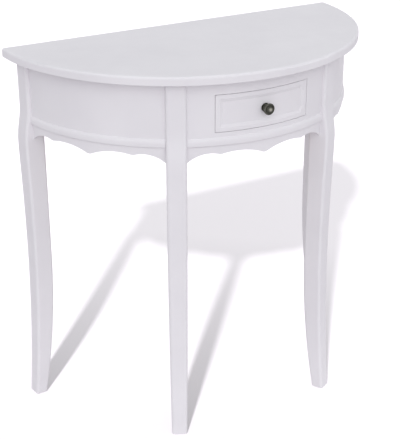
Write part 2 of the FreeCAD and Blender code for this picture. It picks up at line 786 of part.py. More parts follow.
def make_leg(name):
    inner = f"-{LEG_IN}"
    body = new_body(f"{name}_leg_post", LEG_FRAMES[name])
    # The leg seen from its side: outer curve from top to foot, then the inner curve back up
    head = (f"-{LEG_REACH}", UNDERSIDE)
    knee_start = (f"-{LEG_REACH}", f"{UNDERSIDE} - knee_start_drop")
    knee = (f"-({LEG_REACH} + knee_swell)", f"{UNDERSIDE} - knee_drop")
    waist = (f"-({LEG_REACH} + waist_offset)", "waist_height")
    toe = (f"-({LEG_REACH} + foot_kick)", "0")
    heel = (f"-({LEG_REACH} + foot_kick - foot_depth)", "0")
    hollow = (inner, "inner_curve_height")
    shoulder, shoulder_radius, brow_radius = s_curve(knee_start, knee, 0.5)
    calf, calf_radius, shin_radius = s_curve(knee, waist, KNEE_SHARE)
    side = new_sketch(body, "side", "YZ_Plane")
    outline(side, [
        head,
        (*knee_start, shoulder_radius, 1),
        (*shoulder, brow_radius, -1),
        (*knee, calf_radius, -1),
        (*calf, shin_radius, 1),
        (*waist, quarter_curve(waist, toe), 1),
        toe,
        (*heel, quarter_curve(hollow, heel), -1),
        hollow,
        (inner, UNDERSIDE),
    ])
    pad(side, "leg_width", symmetric=True)
    # The taper of the leg seen from its front, cut from both sides
    front = new_sketch(body, "taper", "XZ_Plane")
    taper_top = f"{UNDERSIDE} - taper_drop"
    taper_radius = quarter_curve((HALF_LEG, taper_top), ("foot_width / 2", "0"))
    for way in (-1, 1):
        outline(front, [
            (f"{way} * {HALF_LEG}", taper_top, taper_radius, way),
            (f"{way} * foot_width / 2", "0"),
            (f"{way} * foot_width / 2", "-overrun"),
            (f"{way} * ({HALF_LEG} + overrun)", "-overrun"),
            (f"{way} * ({HALF_LEG} + overrun)", taper_top),
        ])
    pocket(front)
    dress(body, "Fillet", {"Radius": "leg_round"}, lambda edge: level(edge) is None)
    dress(body, "Chamfer", {"Size": "foot_chamfer"},
          lambda edge: level(edge) is not None and near(level(edge), 0))
    holes = [rod(spot, "insert_diameter", "insert_length") for spot in insert_places(name)]
    for places in apron_dowel_places(name).values():
        holes += [frame_dowel_hole(spot) for spot in places]
    if name in FRONTWARD:
        holes += [frame_dowel_hole(spot) for spot in rail_dowel_places(name)]
    drill(f"{name}_leg", body, holes)


def block_holes(name):
    holes = [rod(spot, "bolt_diameter + 2 * bolt_clearance", "block_thickness + 2 * overrun", "-overrun")
             for spot in bolt_places(name)]
    holes += [screw_way(spot, "block_thickness") for spot in block_screw_places(name)]
    holes.append(sunk_screw_way(top_screw_place(name), "screw_grip", "block_height - screw_grip"))
    return holes


def make_front_block(name):
    """A block across the back of a front leg and the ends of both aprons."""
    body = new_body(f"{name}_block_blank", LEG_FRAMES[name])
    left = block_half(name, -1)
    right = block_half(name, 1)
    inner = f"-{BLOCK_FACE}"
    sketch = new_sketch(body, "plan", "XY_Plane", BLOCK_FOOT)
    outline(sketch, [
        (f"-{left}", inner),
        (f"-{left}", f"-sqrt({APRON_IN} ^ 2 - {left} ^ 2)", APRON_IN, -1),
        (f"-{HALF_LEG}", f"-{LEG_IN}"),
        (HALF_LEG, f"-{LEG_IN}", APRON_IN, -1),
        (right, f"-sqrt({APRON_IN} ^ 2 - {right} ^ 2)"),
        (right, inner),
    ])
    pad(sketch, "block_height")
    drill(f"{name}_block", body, block_holes(name))


def make_rear_block(name):
    """A block in the corner of the back rail, a rear leg and the end of a side apron."""
    body = new_body(f"{name}_block_blank", LEG_FRAMES[name])
    way = FRONTWARD[name]
    inner = f"-{BLOCK_FACE}"
    sketch = new_sketch(body, "plan", "XY_Plane", BLOCK_FOOT)
    outline(sketch, [
        (f"{way} * {rail_line(RAIL_FACE, BLOCK_FACE)}", inner),
        (f"{way} * {rail_line(RAIL_FACE, LEG_IN)}", f"-{LEG_IN}"),
        (f"{way} * {HALF_LEG}", f"-{LEG_IN}", APRON_IN, -way),
        (f"{way} * {REAR_BLOCK_FAR}", f"-sqrt({APRON_IN} ^ 2 - {REAR_BLOCK_FAR} ^ 2)"),
        (f"{way} * {REAR_BLOCK_FAR}", inner),
    ])
    pad(sketch, "block_height")
    drill(f"{name}_block", body, block_holes(name))


def rail_end(depth):
    """Where the back rail's end lies against the inner face of a rear leg, at a depth."""
    return f"(({LEG_IN} - {depth} * cos({REAR_ANGLE})) / sin({REAR_ANGLE}))"


def make_rail():
    body = new_body("back_rail_board")
    sketch = new_sketch(body, "plan", "XY_Plane", f"{UNDERSIDE} - rail_height")
    outline(sketch, [
        (f"-{rail_end(RAIL_FACE)}", f"-{RAIL_FACE}"),
        (rail_end(RAIL_FACE), f"-{RAIL_FACE}"),
        (rail_end(RAIL_BACK), f"-{RAIL_BACK}"),
        (f"-{rail_end(RAIL_BACK)}", f"-{RAIL_BACK}"),
    ])
    pad(sketch, "rail_height")
    holes = []
    for name in FRONTWARD:
        holes += [frame_dowel_hole(place) for place in rail_dowel_places(name)]
    for side in SIDES:
        holes += [screw_way(place, RUNNER_GRIP) for place in runner_screw_places(side)]
    drill("back_rail", body, holes)


def trim_to_apron(body, inner, outer, way):
    """Shapes the front end of a strip to the hollow side of the front apron."""
    sketch = new_sketch(body, "front_end", "XY_Plane")
    outline(sketch, [
        (f"{way} * ({inner})", f"-sqrt({APRON_IN} ^ 2 - ({inner}) ^ 2)", APRON_IN, way),
        (f"{way} * ({outer})", f"-sqrt({APRON_IN} ^ 2 - ({outer}) ^ 2)"),
        (f"{way} * ({outer})", f"-{APRON_OUT}"),
        (f"{way} * ({inner})", f"-{APRON_OUT}"),
    ])
    pocket(sketch)


def make_runner(side):
    """The ledge under a drawer side with the guide beside it, from the back rail to the apron."""
    way = SIDES[side]
    body = new_body(f"{side}_runner_strip")
    sketch = new_sketch(body, "section", "XZ_Plane", RAIL_FACE)
    outline(sketch, [
        (f"{way} * {SIDE_IN}", RUNNER_FOOT),
        (f"{way} * {GUIDE_OUT}", RUNNER_FOOT),
        (f"{way} * {GUIDE_OUT}", SIDE_TOP),
        (f"{way} * {GUIDE_IN}", SIDE_TOP),
        (f"{way} * {GUIDE_IN}", RUNNER_TOP),
        (f"{way} * {SIDE_IN}", RUNNER_TOP),
    ])
    pad(sketch, f"{APRON_IN} - {RAIL_FACE}")
    trim_to_apron(body, SIDE_IN, GUIDE_OUT, way)
    holes = [screw_bore(runner_screw_places(side)[0], RUNNER_GRIP)]
    holes.append(small_dowel_hole(runner_dowel_place(side)))
    drill(f"{side}_runner", body, holes)


def make_kicker(side):
    """The strip over a drawer side that keeps the open drawer from tipping."""
    way = SIDES[side]
    middle = f"({SIDE_OUT} - drawer_side_thickness / 2)"
    inner = f"{middle} - kicker_width / 2"
    outer = f"{middle} + kicker_width / 2"
    body = new_body(f"{side}_kicker_strip")
    sketch = new_sketch(body, "section", "XZ_Plane", RAIL_FACE)
    outline(sketch, [
        (f"{way} * ({inner})", KICKER_FOOT),
        (f"{way} * ({outer})", KICKER_FOOT),
        (f"{way} * ({outer})", UNDERSIDE),
        (f"{way} * ({inner})", UNDERSIDE),
    ])
    pad(sketch, f"{APRON_IN} - {RAIL_FACE}")
    trim_to_apron(body, inner, outer, way)
    holes = [screw_bore(runner_screw_places(side)[1], RUNNER_GRIP)]
    holes += [sunk_screw_way(place, KICKER_GRIP, "kicker_screw_sink") for place in kicker_screw_places(side)]
    drill(f"{side}_kicker", body, holes)


def make_stops():
    """Small blocks on the runners, just behind the closed drawer."""
    stops = []
    for way in SIDES.values():
        stop = doc.addObject("Part::Box", "stop")
        bind(stop, "Length", "drawer_side_thickness")
        bind(stop, "Width", "stop_length")
        bind(stop, "Height", "stop_height")
        left = SIDE_IN if way > 0 else f"-{SIDE_OUT}"
        bind(stop, "Placement.Base.x", left)
        bind(stop, "Placement.Base.y", f"{CENTRE} - {BOX_BACK} + slide_clearance")
        bind(stop, "Placement.Base.z", RUNNER_TOP)
        stops.append(stop)
    group("drawer_stops", stops)


def make_drawer_front():
    """Bowed outside like the apron and flat inside, with a sunk panel within a bevelled border."""
    body = new_body("drawer_front_board")
    sketch = new_sketch(body, "plan", "XY_Plane", FRONT_FOOT)
    edge_line = f"-sqrt({APRON_OUT} ^ 2 - {HALF_FRONT} ^ 2)"
    outline(sketch, [
        (f"-{HALF_FRONT}", edge_line, APRON_OUT, -1),
        (HALF_FRONT, edge_line),
        (HALF_FRONT, f"-{FRONT_BACK}"),
        (f"-{HALF_FRONT}", f"-{FRONT_BACK}"),
    ])
    pad(sketch, "drawer_front_height")
    half = f"({HALF_FRONT} - panel_border - panel_bevel)"
    sunk = new_sketch(body, "sunk_panel", "XY_Plane", f"{FRONT_FOOT} + panel_border + panel_bevel")
    outer = f"({APRON_OUT} + overrun)"
    outline(sunk, [
        (f"-{half}", f"-sqrt({outer} ^ 2 - {half} ^ 2)", outer, -1),
        (half, f"-sqrt({outer} ^ 2 - {half} ^ 2)"),
        (half, f"-sqrt({FIELD_RADIUS} ^ 2 - {half} ^ 2)", FIELD_RADIUS, 1),
        (f"-{half}", f"-sqrt({FIELD_RADIUS} ^ 2 - {half} ^ 2)"),
    ])
    pocket(sunk, "drawer_front_height - 2 * (panel_border + panel_bevel)", toward_normal=True)
    face = value(APRON_OUT)
    window = value(half)
    low = value(f"{FRONT_FOOT} + panel_border")
    high = value(f"{FRONT_FOOT} + drawer_front_height - panel_border")

    def is_window_edge(edge):
        box = edge.BoundBox
        inside = max(abs(box.XMin), abs(box.XMax)) < window + NEAR and low < box.ZMin and box.ZMax < high
        return inside and near(math.hypot(edge.Vertexes[0].X, edge.Vertexes[0].Y), face)

    # The first distance of the bevel lies on the bowed face, the second on the window's wall
    dress(body, "Chamfer", {"Size": "panel_bevel", "Size2": "panel_depth - bevel_foot"}, is_window_edge)
    holes = []
    for side in SIDES:
        holes += [small_dowel_hole(place) for place in drawer_dowel_places(side)[0]]
    holes.append(rod(knob_screw_place(), "knob_screw_diameter + 2 * screw_clearance",
                     f"{APRON_OUT} - {FRONT_BACK} + 2 * overrun", "-overrun"))
    holes.append(rod(knob_place(), "knob_base_diameter + 2 * knob_seat_clearance", "overrun"))
    groove = doc.addObject("Part::Box", "front_groove")
    bind(groove, "Length", f"2 * ({SIDE_IN} + groove_depth)")
    bind(groove, "Width", "groove_depth + overrun")
    bind(groove, "Height", "bottom_thickness + 2 * groove_clearance")
    bind(groove, "Placement.Base.x", f"-({SIDE_IN} + groove_depth)")
    bind(groove, "Placement.Base.y", f"{CENTRE} - {FRONT_BACK} - groove_depth")
    bind(groove, "Placement.Base.z", f"{BOTTOM_FOOT} - groove_clearance")
    holes.append(groove)
    drill("drawer_front", body, holes)


def make_drawer_side(side):
    """A drawer side with the groove that holds the bottom."""
    way = SIDES[side]
    body = new_body(f"drawer_{side}_side_board")
    inner = f"{way} * {SIDE_IN}"
    outer = f"{way} * {SIDE_OUT}"
    groove = f"{way} * ({SIDE_IN} + groove_depth)"
    sketch = new_sketch(body, "section", "XZ_Plane", BOX_BACK)
    outline(sketch, [
        (inner, SIDE_FOOT),
        (outer, SIDE_FOOT),
        (outer, SIDE_TOP),
        (inner, SIDE_TOP),
        (inner, f"{BOTTOM_TOP} + groove_clearance"),
        (groove, f"{BOTTOM_TOP} + groove_clearance"),
        (groove, f"{BOTTOM_FOOT} - groove_clearance"),
        (inner, f"{BOTTOM_FOOT} - groove_clearance"),
    ])
    pad(sketch, "drawer_side_length")
    front, back = drawer_dowel_places(side)
    drill(f"drawer_{side}_side", body, [small_dowel_hole(place) for place in front] +
          [small_dowel_hole(place) for place in back])


def make_drawer_back():
    board = doc.addObject("Part::Box", "drawer_back_board")
    bind(board, "Length", f"2 * {SIDE_IN}")
    bind(board, "Width", "drawer_back_thickness")
    bind(board, "Height", f"{SIDE_TOP} - drawer_back_setdown - {BOTTOM_TOP}")
    bind(board, "Placement.Base.x", f"-{SIDE_IN}")
    bind(board, "Placement.Base.y", f"{CENTRE} - {BOX_BACK} - drawer_back_thickness")
    bind(board, "Placement.Base.z", BOTTOM_TOP)
    holes = []
    for side in SIDES:
        holes += [small_dowel_hole(place) for place in drawer_dowel_places(side)[1]]
    holes += [rod(place, "pin_diameter + 2 * screw_clearance", "pin_length + screw_clearance")
              for place in pin_places()]
    drill("drawer_back", board, holes)


def make_drawer_bottom():
    sheet_board = doc.addObject("Part::Box", "drawer_bottom_sheet")
    half = f"({SIDE_IN} + groove_depth - groove_clearance)"
    bind(sheet_board, "Length", f"2 * {half}")
    bind(sheet_board, "Width", "drawer_side_length + groove_depth - groove_clearance")
    bind(sheet_board, "Height", "bottom_thickness")
    bind(sheet_board, "Placement.Base.x", f"-{half}")
    bind(sheet_board, "Placement.Base.y", f"{CENTRE} - {FRONT_BACK} - groove_depth + groove_clearance")
    bind(sheet_board, "Placement.Base.z", BOTTOM_FOOT)
    holes = [rod(place, "pin_diameter + 2 * screw_clearance", "bottom_thickness + 2 * overrun", "-overrun")
             for place in pin_places()]
    drill("drawer_bottom", sheet_board, holes)


def make_knob():
    """A turned knob: flange, neck, and a mushroom head with a rim round a low dome."""
    body = new_body("knob_turning", knob_place())
    sketch = new_sketch(body, "profile", "XZ_Plane")
    flange = ("knob_base_diameter / 2", "knob_base_height")
    neck = ("knob_neck_diameter / 2", "knob_neck_height")
    flare = ("knob_flare_diameter / 2", "knob_flare_height")
    rim_top = "(knob_flare_height + knob_rim_height)"
    dome_foot = f"({rim_top} - knob_rim_recess)"
    dome_radius = "(((knob_dome_diameter / 2) ^ 2 + knob_dome_height ^ 2) / (2 * knob_dome_height))"
    outline(sketch, [
        ("0", "0"),
        ("knob_base_diameter / 2", "0"),
        (*flange, quarter_curve(flange, neck), 1),
        (*neck, quarter_curve(neck, flare), 1),
        (*flare, f"{KNOB_RIM_SHARE} * knob_rim_height", -1),
        (flare[0], rim_top),
        ("knob_dome_diameter / 2", dome_foot, dome_radius, -1),
        ("0", f"{dome_foot} + knob_dome_height"),
    ])
    turned = body.newObject("PartDesign::Revolution", "knob_turned")
    turned.Profile = sketch
    turned.ReferenceAxis = (sketch, ["V_Axis"])
    turned.Angle = 360
    doc.recompute()
    bore = rod(knob_place(), "knob_screw_diameter + 2 * thread_clearance",
               "knob_screw_bite + knob_bore_gap")
    drill("knob", body, [bore])


def make_bolt(place):
    """A hexagon bolt: the washer lies between its head and the block."""
    seat_line = place.multiply(FreeCAD.Placement(UP * -value("washer_thickness"), FreeCAD.Rotation()))
    shank = rod(seat_line, "bolt_diameter",
                "washer_thickness + block_thickness + insert_length - insert_end_gap")
    head = doc.addObject("Part::Prism", "bolt_head")
    head.Polygon = 6
    bind(head, "Circumradius", "bolt_head_across / sqrt(3)")
    bind(head, "Height", "bolt_head_height")
    back = FreeCAD.Placement(UP * -value("bolt_head_height"), FreeCAD.Rotation())
    head.Placement = seat_line.multiply(back)
    return fuse([shank, head])


def make_ring(place, outer, inner, length, start="0"):
    """A washer or a threaded sleeve."""
    ring = doc.addObject("Part::Cut", "ring")
    ring.Base = rod(place, outer, length, start)
    ring.Tool = rod(place, inner, f"{length} + 2 * overrun", f"{start} - overrun")
    return ring


def make_leg_fixings():
    bolts = [place for name in LEG_FRAMES for place in bolt_places(name)]
    inserts = [place for name in LEG_FRAMES for place in insert_places(name)]
    group("leg_bolts", [make_bolt(place) for place in bolts])
    group("leg_washers", [make_ring(place, "washer_diameter", "bolt_diameter + 2 * thread_clearance",
                                    "washer_thickness", "-washer_thickness") for place in bolts])
    group("leg_inserts", [make_ring(place, "insert_diameter", "bolt_diameter + 2 * thread_clearance",
                                    "insert_length") for place in inserts])


def make_frame_fixings():
    aprons = [place for name in LEG_FRAMES
              for places in apron_dowel_places(name).values() for place in places]
    rails = [place for name in FRONTWARD for place in rail_dowel_places(name)]
    group("apron_dowels", [frame_dowel(place) for place in aprons])
    group("rail_dowels", [frame_dowel(place) for place in rails])
    group("top_screws", [wood_screw(top_screw_place(name), "screw_grip") for name in LEG_FRAMES])
    group("block_screws", [wood_screw(place, "block_thickness")
                           for name in LEG_FRAMES for place in block_screw_places(name)])
    group("runner_screws", [wood_screw(place, RUNNER_GRIP)
                            for side in SIDES for place in runner_screw_places(side)])
    group("kicker_screws", [wood_screw(place, KICKER_GRIP)
                            for side in SIDES for place in kicker_screw_places(side)])
    group("runner_dowels", [small_dowel(runner_dowel_place(side)) for side in SIDES])


def make_drawer_fixings():
    dowels = []
    for side in SIDES:
        front, back = drawer_dowel_places(side)
        dowels += [small_dowel(place) for place in front + back]
    group("drawer_dowels", dowels)
    group("bottom_screws", [screw(place, "pin_diameter", "pin_length", "pin_head_diameter",
                                  "pin_head_height") for place in pin_places()])
    finish(screw(knob_screw_place(), "knob_screw_diameter",
                 f"{KNOB_SEAT} - {FRONT_BACK} + knob_screw_bite",
                 "screw_head_diameter", "screw_head_height"), "knob_screw")


make_top()
for panel in PANELS:
    make_apron(panel)
    make_bead(panel)
make_rail()
for leg_name in LEG_FRAMES:
    make_leg(leg_name)
for leg_name in LEG_FRAMES:
    if leg_name.startswith("front"):
        make_front_block(leg_name)
    else:
        make_rear_block(leg_name)
for drawer_hand in SIDES:
    make_runner(drawer_hand)
    make_kicker(drawer_hand)
    make_drawer_side(drawer_hand)
make_stops()
make_drawer_front()
make_drawer_back()
make_drawer_bottom()
make_knob()
make_leg_fixings()
make_frame_fixings()
make_drawer_fixings()
doc.recompute()

# Nothing is written unless every object and every piece is sound
failed = [thing.Label for thing in doc.Objects if {"Invalid", "Error"} & set(thing.State)]
if failed:
    raise ValueError(f"these objects failed: {failed}")
for node in NODES:
    if node.Shape.isNull() or not node.Shape.isValid():
        raise ValueError(f"{node.Label} has no sound shape")
os.makedirs("parts", exist_ok=True)
for node in NODES:
    node.Shape.exportStep(f"parts/{node.Label}.step")
    print(node.Label, len(node.Shape.Solids), round(node.Shape.Volume))
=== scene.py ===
import math
import bmesh
import bpy
from mathutils import Matrix, Vector


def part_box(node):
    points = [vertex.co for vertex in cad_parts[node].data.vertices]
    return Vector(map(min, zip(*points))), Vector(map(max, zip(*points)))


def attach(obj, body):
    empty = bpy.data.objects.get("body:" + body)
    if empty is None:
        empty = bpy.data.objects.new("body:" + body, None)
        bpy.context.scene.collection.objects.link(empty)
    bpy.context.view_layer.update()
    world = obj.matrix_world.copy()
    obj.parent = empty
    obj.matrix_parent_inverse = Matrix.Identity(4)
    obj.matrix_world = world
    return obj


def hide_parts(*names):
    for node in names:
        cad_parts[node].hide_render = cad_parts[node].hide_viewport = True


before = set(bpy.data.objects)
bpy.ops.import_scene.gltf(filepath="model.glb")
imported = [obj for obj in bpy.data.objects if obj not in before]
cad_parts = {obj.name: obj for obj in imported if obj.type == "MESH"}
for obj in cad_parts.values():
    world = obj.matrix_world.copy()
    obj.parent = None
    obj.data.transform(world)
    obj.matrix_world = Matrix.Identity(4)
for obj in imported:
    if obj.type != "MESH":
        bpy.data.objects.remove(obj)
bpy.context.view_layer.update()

# Half-round side table, white satin paint outside and bare wood inside.
# Metres. X runs along the straight back edge, -Y faces the front, +Z is up.

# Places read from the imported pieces
TOP_LOW, TOP_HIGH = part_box("table_top")
BEAD_LOW, BEAD_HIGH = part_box("front_bead")
RAIL_LOW, RAIL_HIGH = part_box("back_rail")
KNOB_LOW, KNOB_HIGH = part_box("knob")
APRON_FRONT_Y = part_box("front_apron")[0][1]
DRAWER_FRONT_INSIDE_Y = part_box("drawer_front")[1][1]
BEND_AXIS_Y = TOP_HIGH[1]
TOP_UNDERSIDE = TOP_LOW[2]
APRON_RADIUS = BEND_AXIS_Y - APRON_FRONT_Y
RAIL_INSIDE_Y = RAIL_LOW[1]
RAIL_MIDDLE_Y = (RAIL_LOW[1] + RAIL_HIGH[1]) / 2
MOULDING_FOOT = BEAD_LOW[2]
MOULDING_HEIGHT = BEAD_HIGH[2] - BEAD_LOW[2]
MOULDING_STAND = APRON_FRONT_Y - BEAD_LOW[1]
KNOB_AXIS_HEIGHT = (KNOB_LOW[2] + KNOB_HIGH[2]) / 2
KNOB_RADIUS = (KNOB_HIGH[0] - KNOB_LOW[0]) / 2

# Sizes shared with the part's source
APRON_THICKNESS = 0.027
FRONT_LEG_ANGLE = math.radians(28.3)
REAR_LEG_ANGLE = math.radians(83.9)
HALF_LEG = 0.0205

# How far from an inner face the paint ends, on flat and on bent pieces
FLAT_PAINT_EDGE = 0.0003
BENT_PAINT_EDGE = 0.0006


# Small helpers for node trees

# A Mix node's sockets for each kind of value: the first value, the second and the result
MIX_SOCKETS = {"FLOAT": (2, 3, 0), "VECTOR": (4, 5, 1), "RGBA": (6, 7, 2)}
# Values of a noise: nearly all of them, and those about its middle
NOISE_SPAN = (0.3, 0.7)
NOISE_MIDDLE = (0.35, 0.65)


def cleared_tree(owner):
    """The node tree of a material or a world, with nothing in it."""
    owner.use_nodes = True
    owner.node_tree.nodes.clear()
    return owner.node_tree


def new_material(name):
    """A plain material: itself, its tree, its shader and its object coordinates."""
    material = bpy.data.materials.new(name)
    tree = cleared_tree(material)
    output = tree.nodes.new("ShaderNodeOutputMaterial")
    shader = tree.nodes.new("ShaderNodeBsdfPrincipled")
    tree.links.new(shader.outputs["BSDF"], output.inputs["Surface"])
    place = tree.nodes.new("ShaderNodeTexCoord")
    return material, tree, shader, place.outputs["Object"]


def feed(tree, socket, source):
    """Links a socket, or sets it when the source is a plain value."""
    if isinstance(source, bpy.types.NodeSocket):
        tree.links.new(source, socket)
    else:
        socket.default_value = source


def drawn_out(tree, place, axis, run, across):
    """The coordinates scaled for a pattern that is long on one axis: its swings per metre each way."""
    mapping = tree.nodes.new("ShaderNodeMapping")
    mapping.inputs["Scale"].default_value = [run if name == axis else across for name in "XYZ"]
    tree.links.new(place, mapping.inputs["Vector"])
    return mapping.outputs["Vector"]


def noise(tree, place, per_metre=1.0, detail=2.0, roughness=0.5, distortion=0.0):
    """A cloudy pattern, finer the more often it swings per metre."""
    texture = tree.nodes.new("ShaderNodeTexNoise")
    texture.inputs["Scale"].default_value = per_metre
    texture.inputs["Detail"].default_value = detail
    texture.inputs["Roughness"].default_value = roughness
    texture.inputs["Distortion"].default_value = distortion
    tree.links.new(place, texture.inputs["Vector"])
    return texture.outputs["Fac"]


def spread(tree, value, between, to=(0.0, 1.0)):
    """A value carried from one range to another, held at its ends."""
    ranged = tree.nodes.new("ShaderNodeMapRange")
    ranged.inputs["From Min"].default_value = between[0]
    ranged.inputs["From Max"].default_value = between[1]
    ranged.inputs["To Min"].default_value = to[0]
    ranged.inputs["To Max"].default_value = to[1]
    tree.links.new(value, ranged.inputs["Value"])
    return ranged.outputs["Result"]


def reckon(tree, operation, first, second=0.0):
    """One sum on a number or on two."""
    sum_node = tree.nodes.new("ShaderNodeMath")
    sum_node.operation = operation
    feed(tree, sum_node.inputs[0], first)
    feed(tree, sum_node.inputs[1], second)
    return sum_node.outputs["Value"]


def reckon_vector(tree, operation, first, second=(0.0, 0.0, 0.0)):
    """One sum on a vector or on two that gives a number."""
    sum_node = tree.nodes.new("ShaderNodeVectorMath")
    sum_node.operation = operation
    feed(tree, sum_node.inputs[0], first)
    feed(tree, sum_node.inputs[1], second)
    return sum_node.outputs["Value"]


def blend(tree, kind, share, first, second):
    """The first value where the share is 0 and the second where it is 1."""
    first_socket, second_socket, result_socket = MIX_SOCKETS[kind]
    mixed = tree.nodes.new("ShaderNodeMix")
    mixed.data_type = kind
    feed(tree, mixed.inputs[0], share)
    feed(tree, mixed.inputs[first_socket], first)
    feed(tree, mixed.inputs[second_socket], second)
    return mixed.outputs[result_socket]


def bumps(tree, height, depth, strength, below=None):
    """Relief of a depth in metres, laid over the relief below it."""
    bump = tree.nodes.new("ShaderNodeBump")
    bump.inputs["Strength"].default_value = strength
    bump.inputs["Distance"].default_value = depth
    tree.links.new(height, bump.inputs["Height"])
    if below is not None:
        tree.links.new(below, bump.inputs["Normal"])
    return bump.outputs["Normal"]


def split_axes(tree, place):
    parts = tree.nodes.new("ShaderNodeSeparateXYZ")
    tree.links.new(place, parts.inputs["Vector"])
    return parts.outputs


def join_axes(tree, across, along, up):
    joined = tree.nodes.new("ShaderNodeCombineXYZ")
    for axis, part in zip("XYZ", (across, along, up)):
        feed(tree, joined.inputs[axis], part)
    return joined.outputs["Vector"]


def reach_from_axis(tree, first, second):
    """The distance from an axis, given the two coordinates across it."""
    return reckon(tree, "SQRT", reckon(tree, "ADD", reckon(tree, "MULTIPLY", first, first),
                                       reckon(tree, "MULTIPLY", second, second)))


# Finishes: each gives colour, roughness and normal for a tree, so that two can meet on one piece

# The parts of a finish: the shader's input and the kind of value
FINISH_PARTS = (("Base Color", "RGBA"), ("Roughness", "FLOAT"), ("Normal", "VECTOR"))

# Satin white paint
PAINT_SHADE = (0.752, 0.729, 0.759, 1)
PAINT_LIGHT = (0.790, 0.767, 0.795, 1)
SANDING_GREY = (0.70, 0.68, 0.705, 1)
SANDING_MARKS = (0.62, 0.78)
SANDING_SHARE = 0.22
SPECK_GREY = (0.70, 0.68, 0.69, 1)
SPECK_SPOTS = (0.70, 0.76)
SPECK_SHARE = 0.18
PAINT_ROUGHNESS = (0.46, 0.58)
PAINT_IOR = 1.46
PAINT_SPECULAR = 0.3

# Bare wood, with the pale and the dark tone of each kind
PINE = ((0.66, 0.46, 0.27, 1), (0.50, 0.31, 0.155, 1))
BEECH = ((0.63, 0.44, 0.29, 1), (0.53, 0.345, 0.21, 1))
BOARD = ((0.56, 0.43, 0.29, 1), (0.47, 0.35, 0.23, 1))
BIRCH_PLY = ((0.70, 0.54, 0.36, 1), (0.61, 0.45, 0.28, 1))
RINGS_PER_SWING = 9.0
FIBRE_SHARE = 0.45
PORE_SPOTS = (0.66, 0.74)
PORE_SHARE = 0.5
PORE_TONE_SHARE = 0.55
WOOD_ROUGHNESS = (0.55, 0.72)

# How tightly the pattern of rings is drawn together across the grain
BROAD_RINGS = 18.0
DRAWER_RINGS = 26.0
PLY_RINGS = 9.0
DOWEL_RINGS = 60.0

# Plated metal, with its two tones and its range of roughness
ZINC_TONES = ((0.60, 0.60, 0.58, 1), (0.67, 0.66, 0.60, 1))
ZINC_ROUGHNESS = (0.28, 0.42)
BRASS_TONES = ((0.73, 0.55, 0.26, 1), (0.63, 0.46, 0.20, 1))
BRASS_ROUGHNESS = (0.25, 0.4)

# The knob's dark metal, and its lighter dome and rim, which are wear and a painted highlight together
KNOB_BLACK = (0.036, 0.036, 0.030, 1)
KNOB_GREY = (0.075, 0.077, 0.062, 1)
KNOB_RUBBED_HIGHLIGHT = (0.34, 0.335, 0.285, 1)
KNOB_GREEN = (0.05, 0.075, 0.055, 1)
RIM_WEAR_HIGHLIGHT_REACH = (0.84 * KNOB_RADIUS, 0.93 * KNOB_RADIUS)
DOME_WEAR_HIGHLIGHT_REACH = (0.42 * KNOB_RADIUS, 0.12 * KNOB_RADIUS)
RIM_WEAR_HIGHLIGHT_SHARE = 0.22
WEAR_HIGHLIGHT_PATCHES = (0.30, 0.55)
WEAR_HIGHLIGHT_RANGE = (0.35, 1.0)
GREEN_SPOTS = (0.60, 0.72)
GREEN_SHARE = 0.4
KNOB_ROUGHNESS = (0.34, 0.46)
KNOB_POLISH = 0.10
KNOB_METALLIC = 0.85


def paint_coat(tree, place, axis):
    """Sprayed satin white: faint clouding, fine orange peel and traces of sanding under the coat."""
    cloud = noise(tree, place, per_metre=7.0, detail=3.0, roughness=0.55)
    sanding = noise(tree, drawn_out(tree, place, axis, run=14, across=420), detail=4.0, roughness=0.6)
    speck = noise(tree, place, per_metre=260.0)
    peel = noise(tree, place, per_metre=620.0)
    gloss = noise(tree, place, per_metre=46.0, detail=4.0, roughness=0.6)
    colour = blend(tree, "RGBA", spread(tree, cloud, NOISE_SPAN), PAINT_SHADE, PAINT_LIGHT)
    sanded = spread(tree, sanding, SANDING_MARKS, to=(0.0, SANDING_SHARE))
    colour = blend(tree, "RGBA", sanded, colour, SANDING_GREY)
    specked = spread(tree, speck, SPECK_SPOTS, to=(0.0, SPECK_SHARE))
    colour = blend(tree, "RGBA", specked, colour, SPECK_GREY)
    rough = spread(tree, gloss, NOISE_SPAN, to=PAINT_ROUGHNESS)
    normal = bumps(tree, peel, depth=0.00007, strength=0.55)
    normal = bumps(tree, sanding, depth=0.00005, strength=0.5, below=normal)
    return colour, rough, normal


def planed_wood(tree, place, axis, tones, ring_scale):
    """Planed wood with growth rings, fibres and a few pores."""
    pale, dark = tones
    pore_tone = tuple(PORE_TONE_SHARE * part for part in dark[:3]) + (1,)
    swing = noise(tree, drawn_out(tree, place, axis, run=1.6, across=ring_scale),
                  per_metre=1.4, detail=3.0, distortion=1.2)
    rings = reckon(tree, "FRACT", reckon(tree, "MULTIPLY", swing, RINGS_PER_SWING))
    fibres = noise(tree, drawn_out(tree, place, axis, run=18, across=900), detail=4.0, roughness=0.65)
    pores = noise(tree, drawn_out(tree, place, axis, run=60, across=1500))
    colour = blend(tree, "RGBA", blend(tree, "FLOAT", FIBRE_SHARE, rings, fibres), pale, dark)
    pored = spread(tree, pores, PORE_SPOTS, to=(0.0, PORE_SHARE))
    colour = blend(tree, "RGBA", pored, colour, pore_tone)
    rough = spread(tree, fibres, NOISE_SPAN, to=WOOD_ROUGHNESS)
    normal = bumps(tree, fibres, depth=0.00012, strength=0.6)
    return colour, rough, normal


def dress_shader(tree, shader, finish):
    for (name, _), source in zip(FINISH_PARTS, finish):
        feed(tree, shader.inputs[name], source)


def mixed_finish(tree, share, first_finish, second_finish):
    """The first finish where the share is 0 and the second where it is 1."""
    mixed = []
    for (_, kind), first, second in zip(FINISH_PARTS, first_finish, second_finish):
        mixed.append(blend(tree, kind, share, first, second))
    return mixed


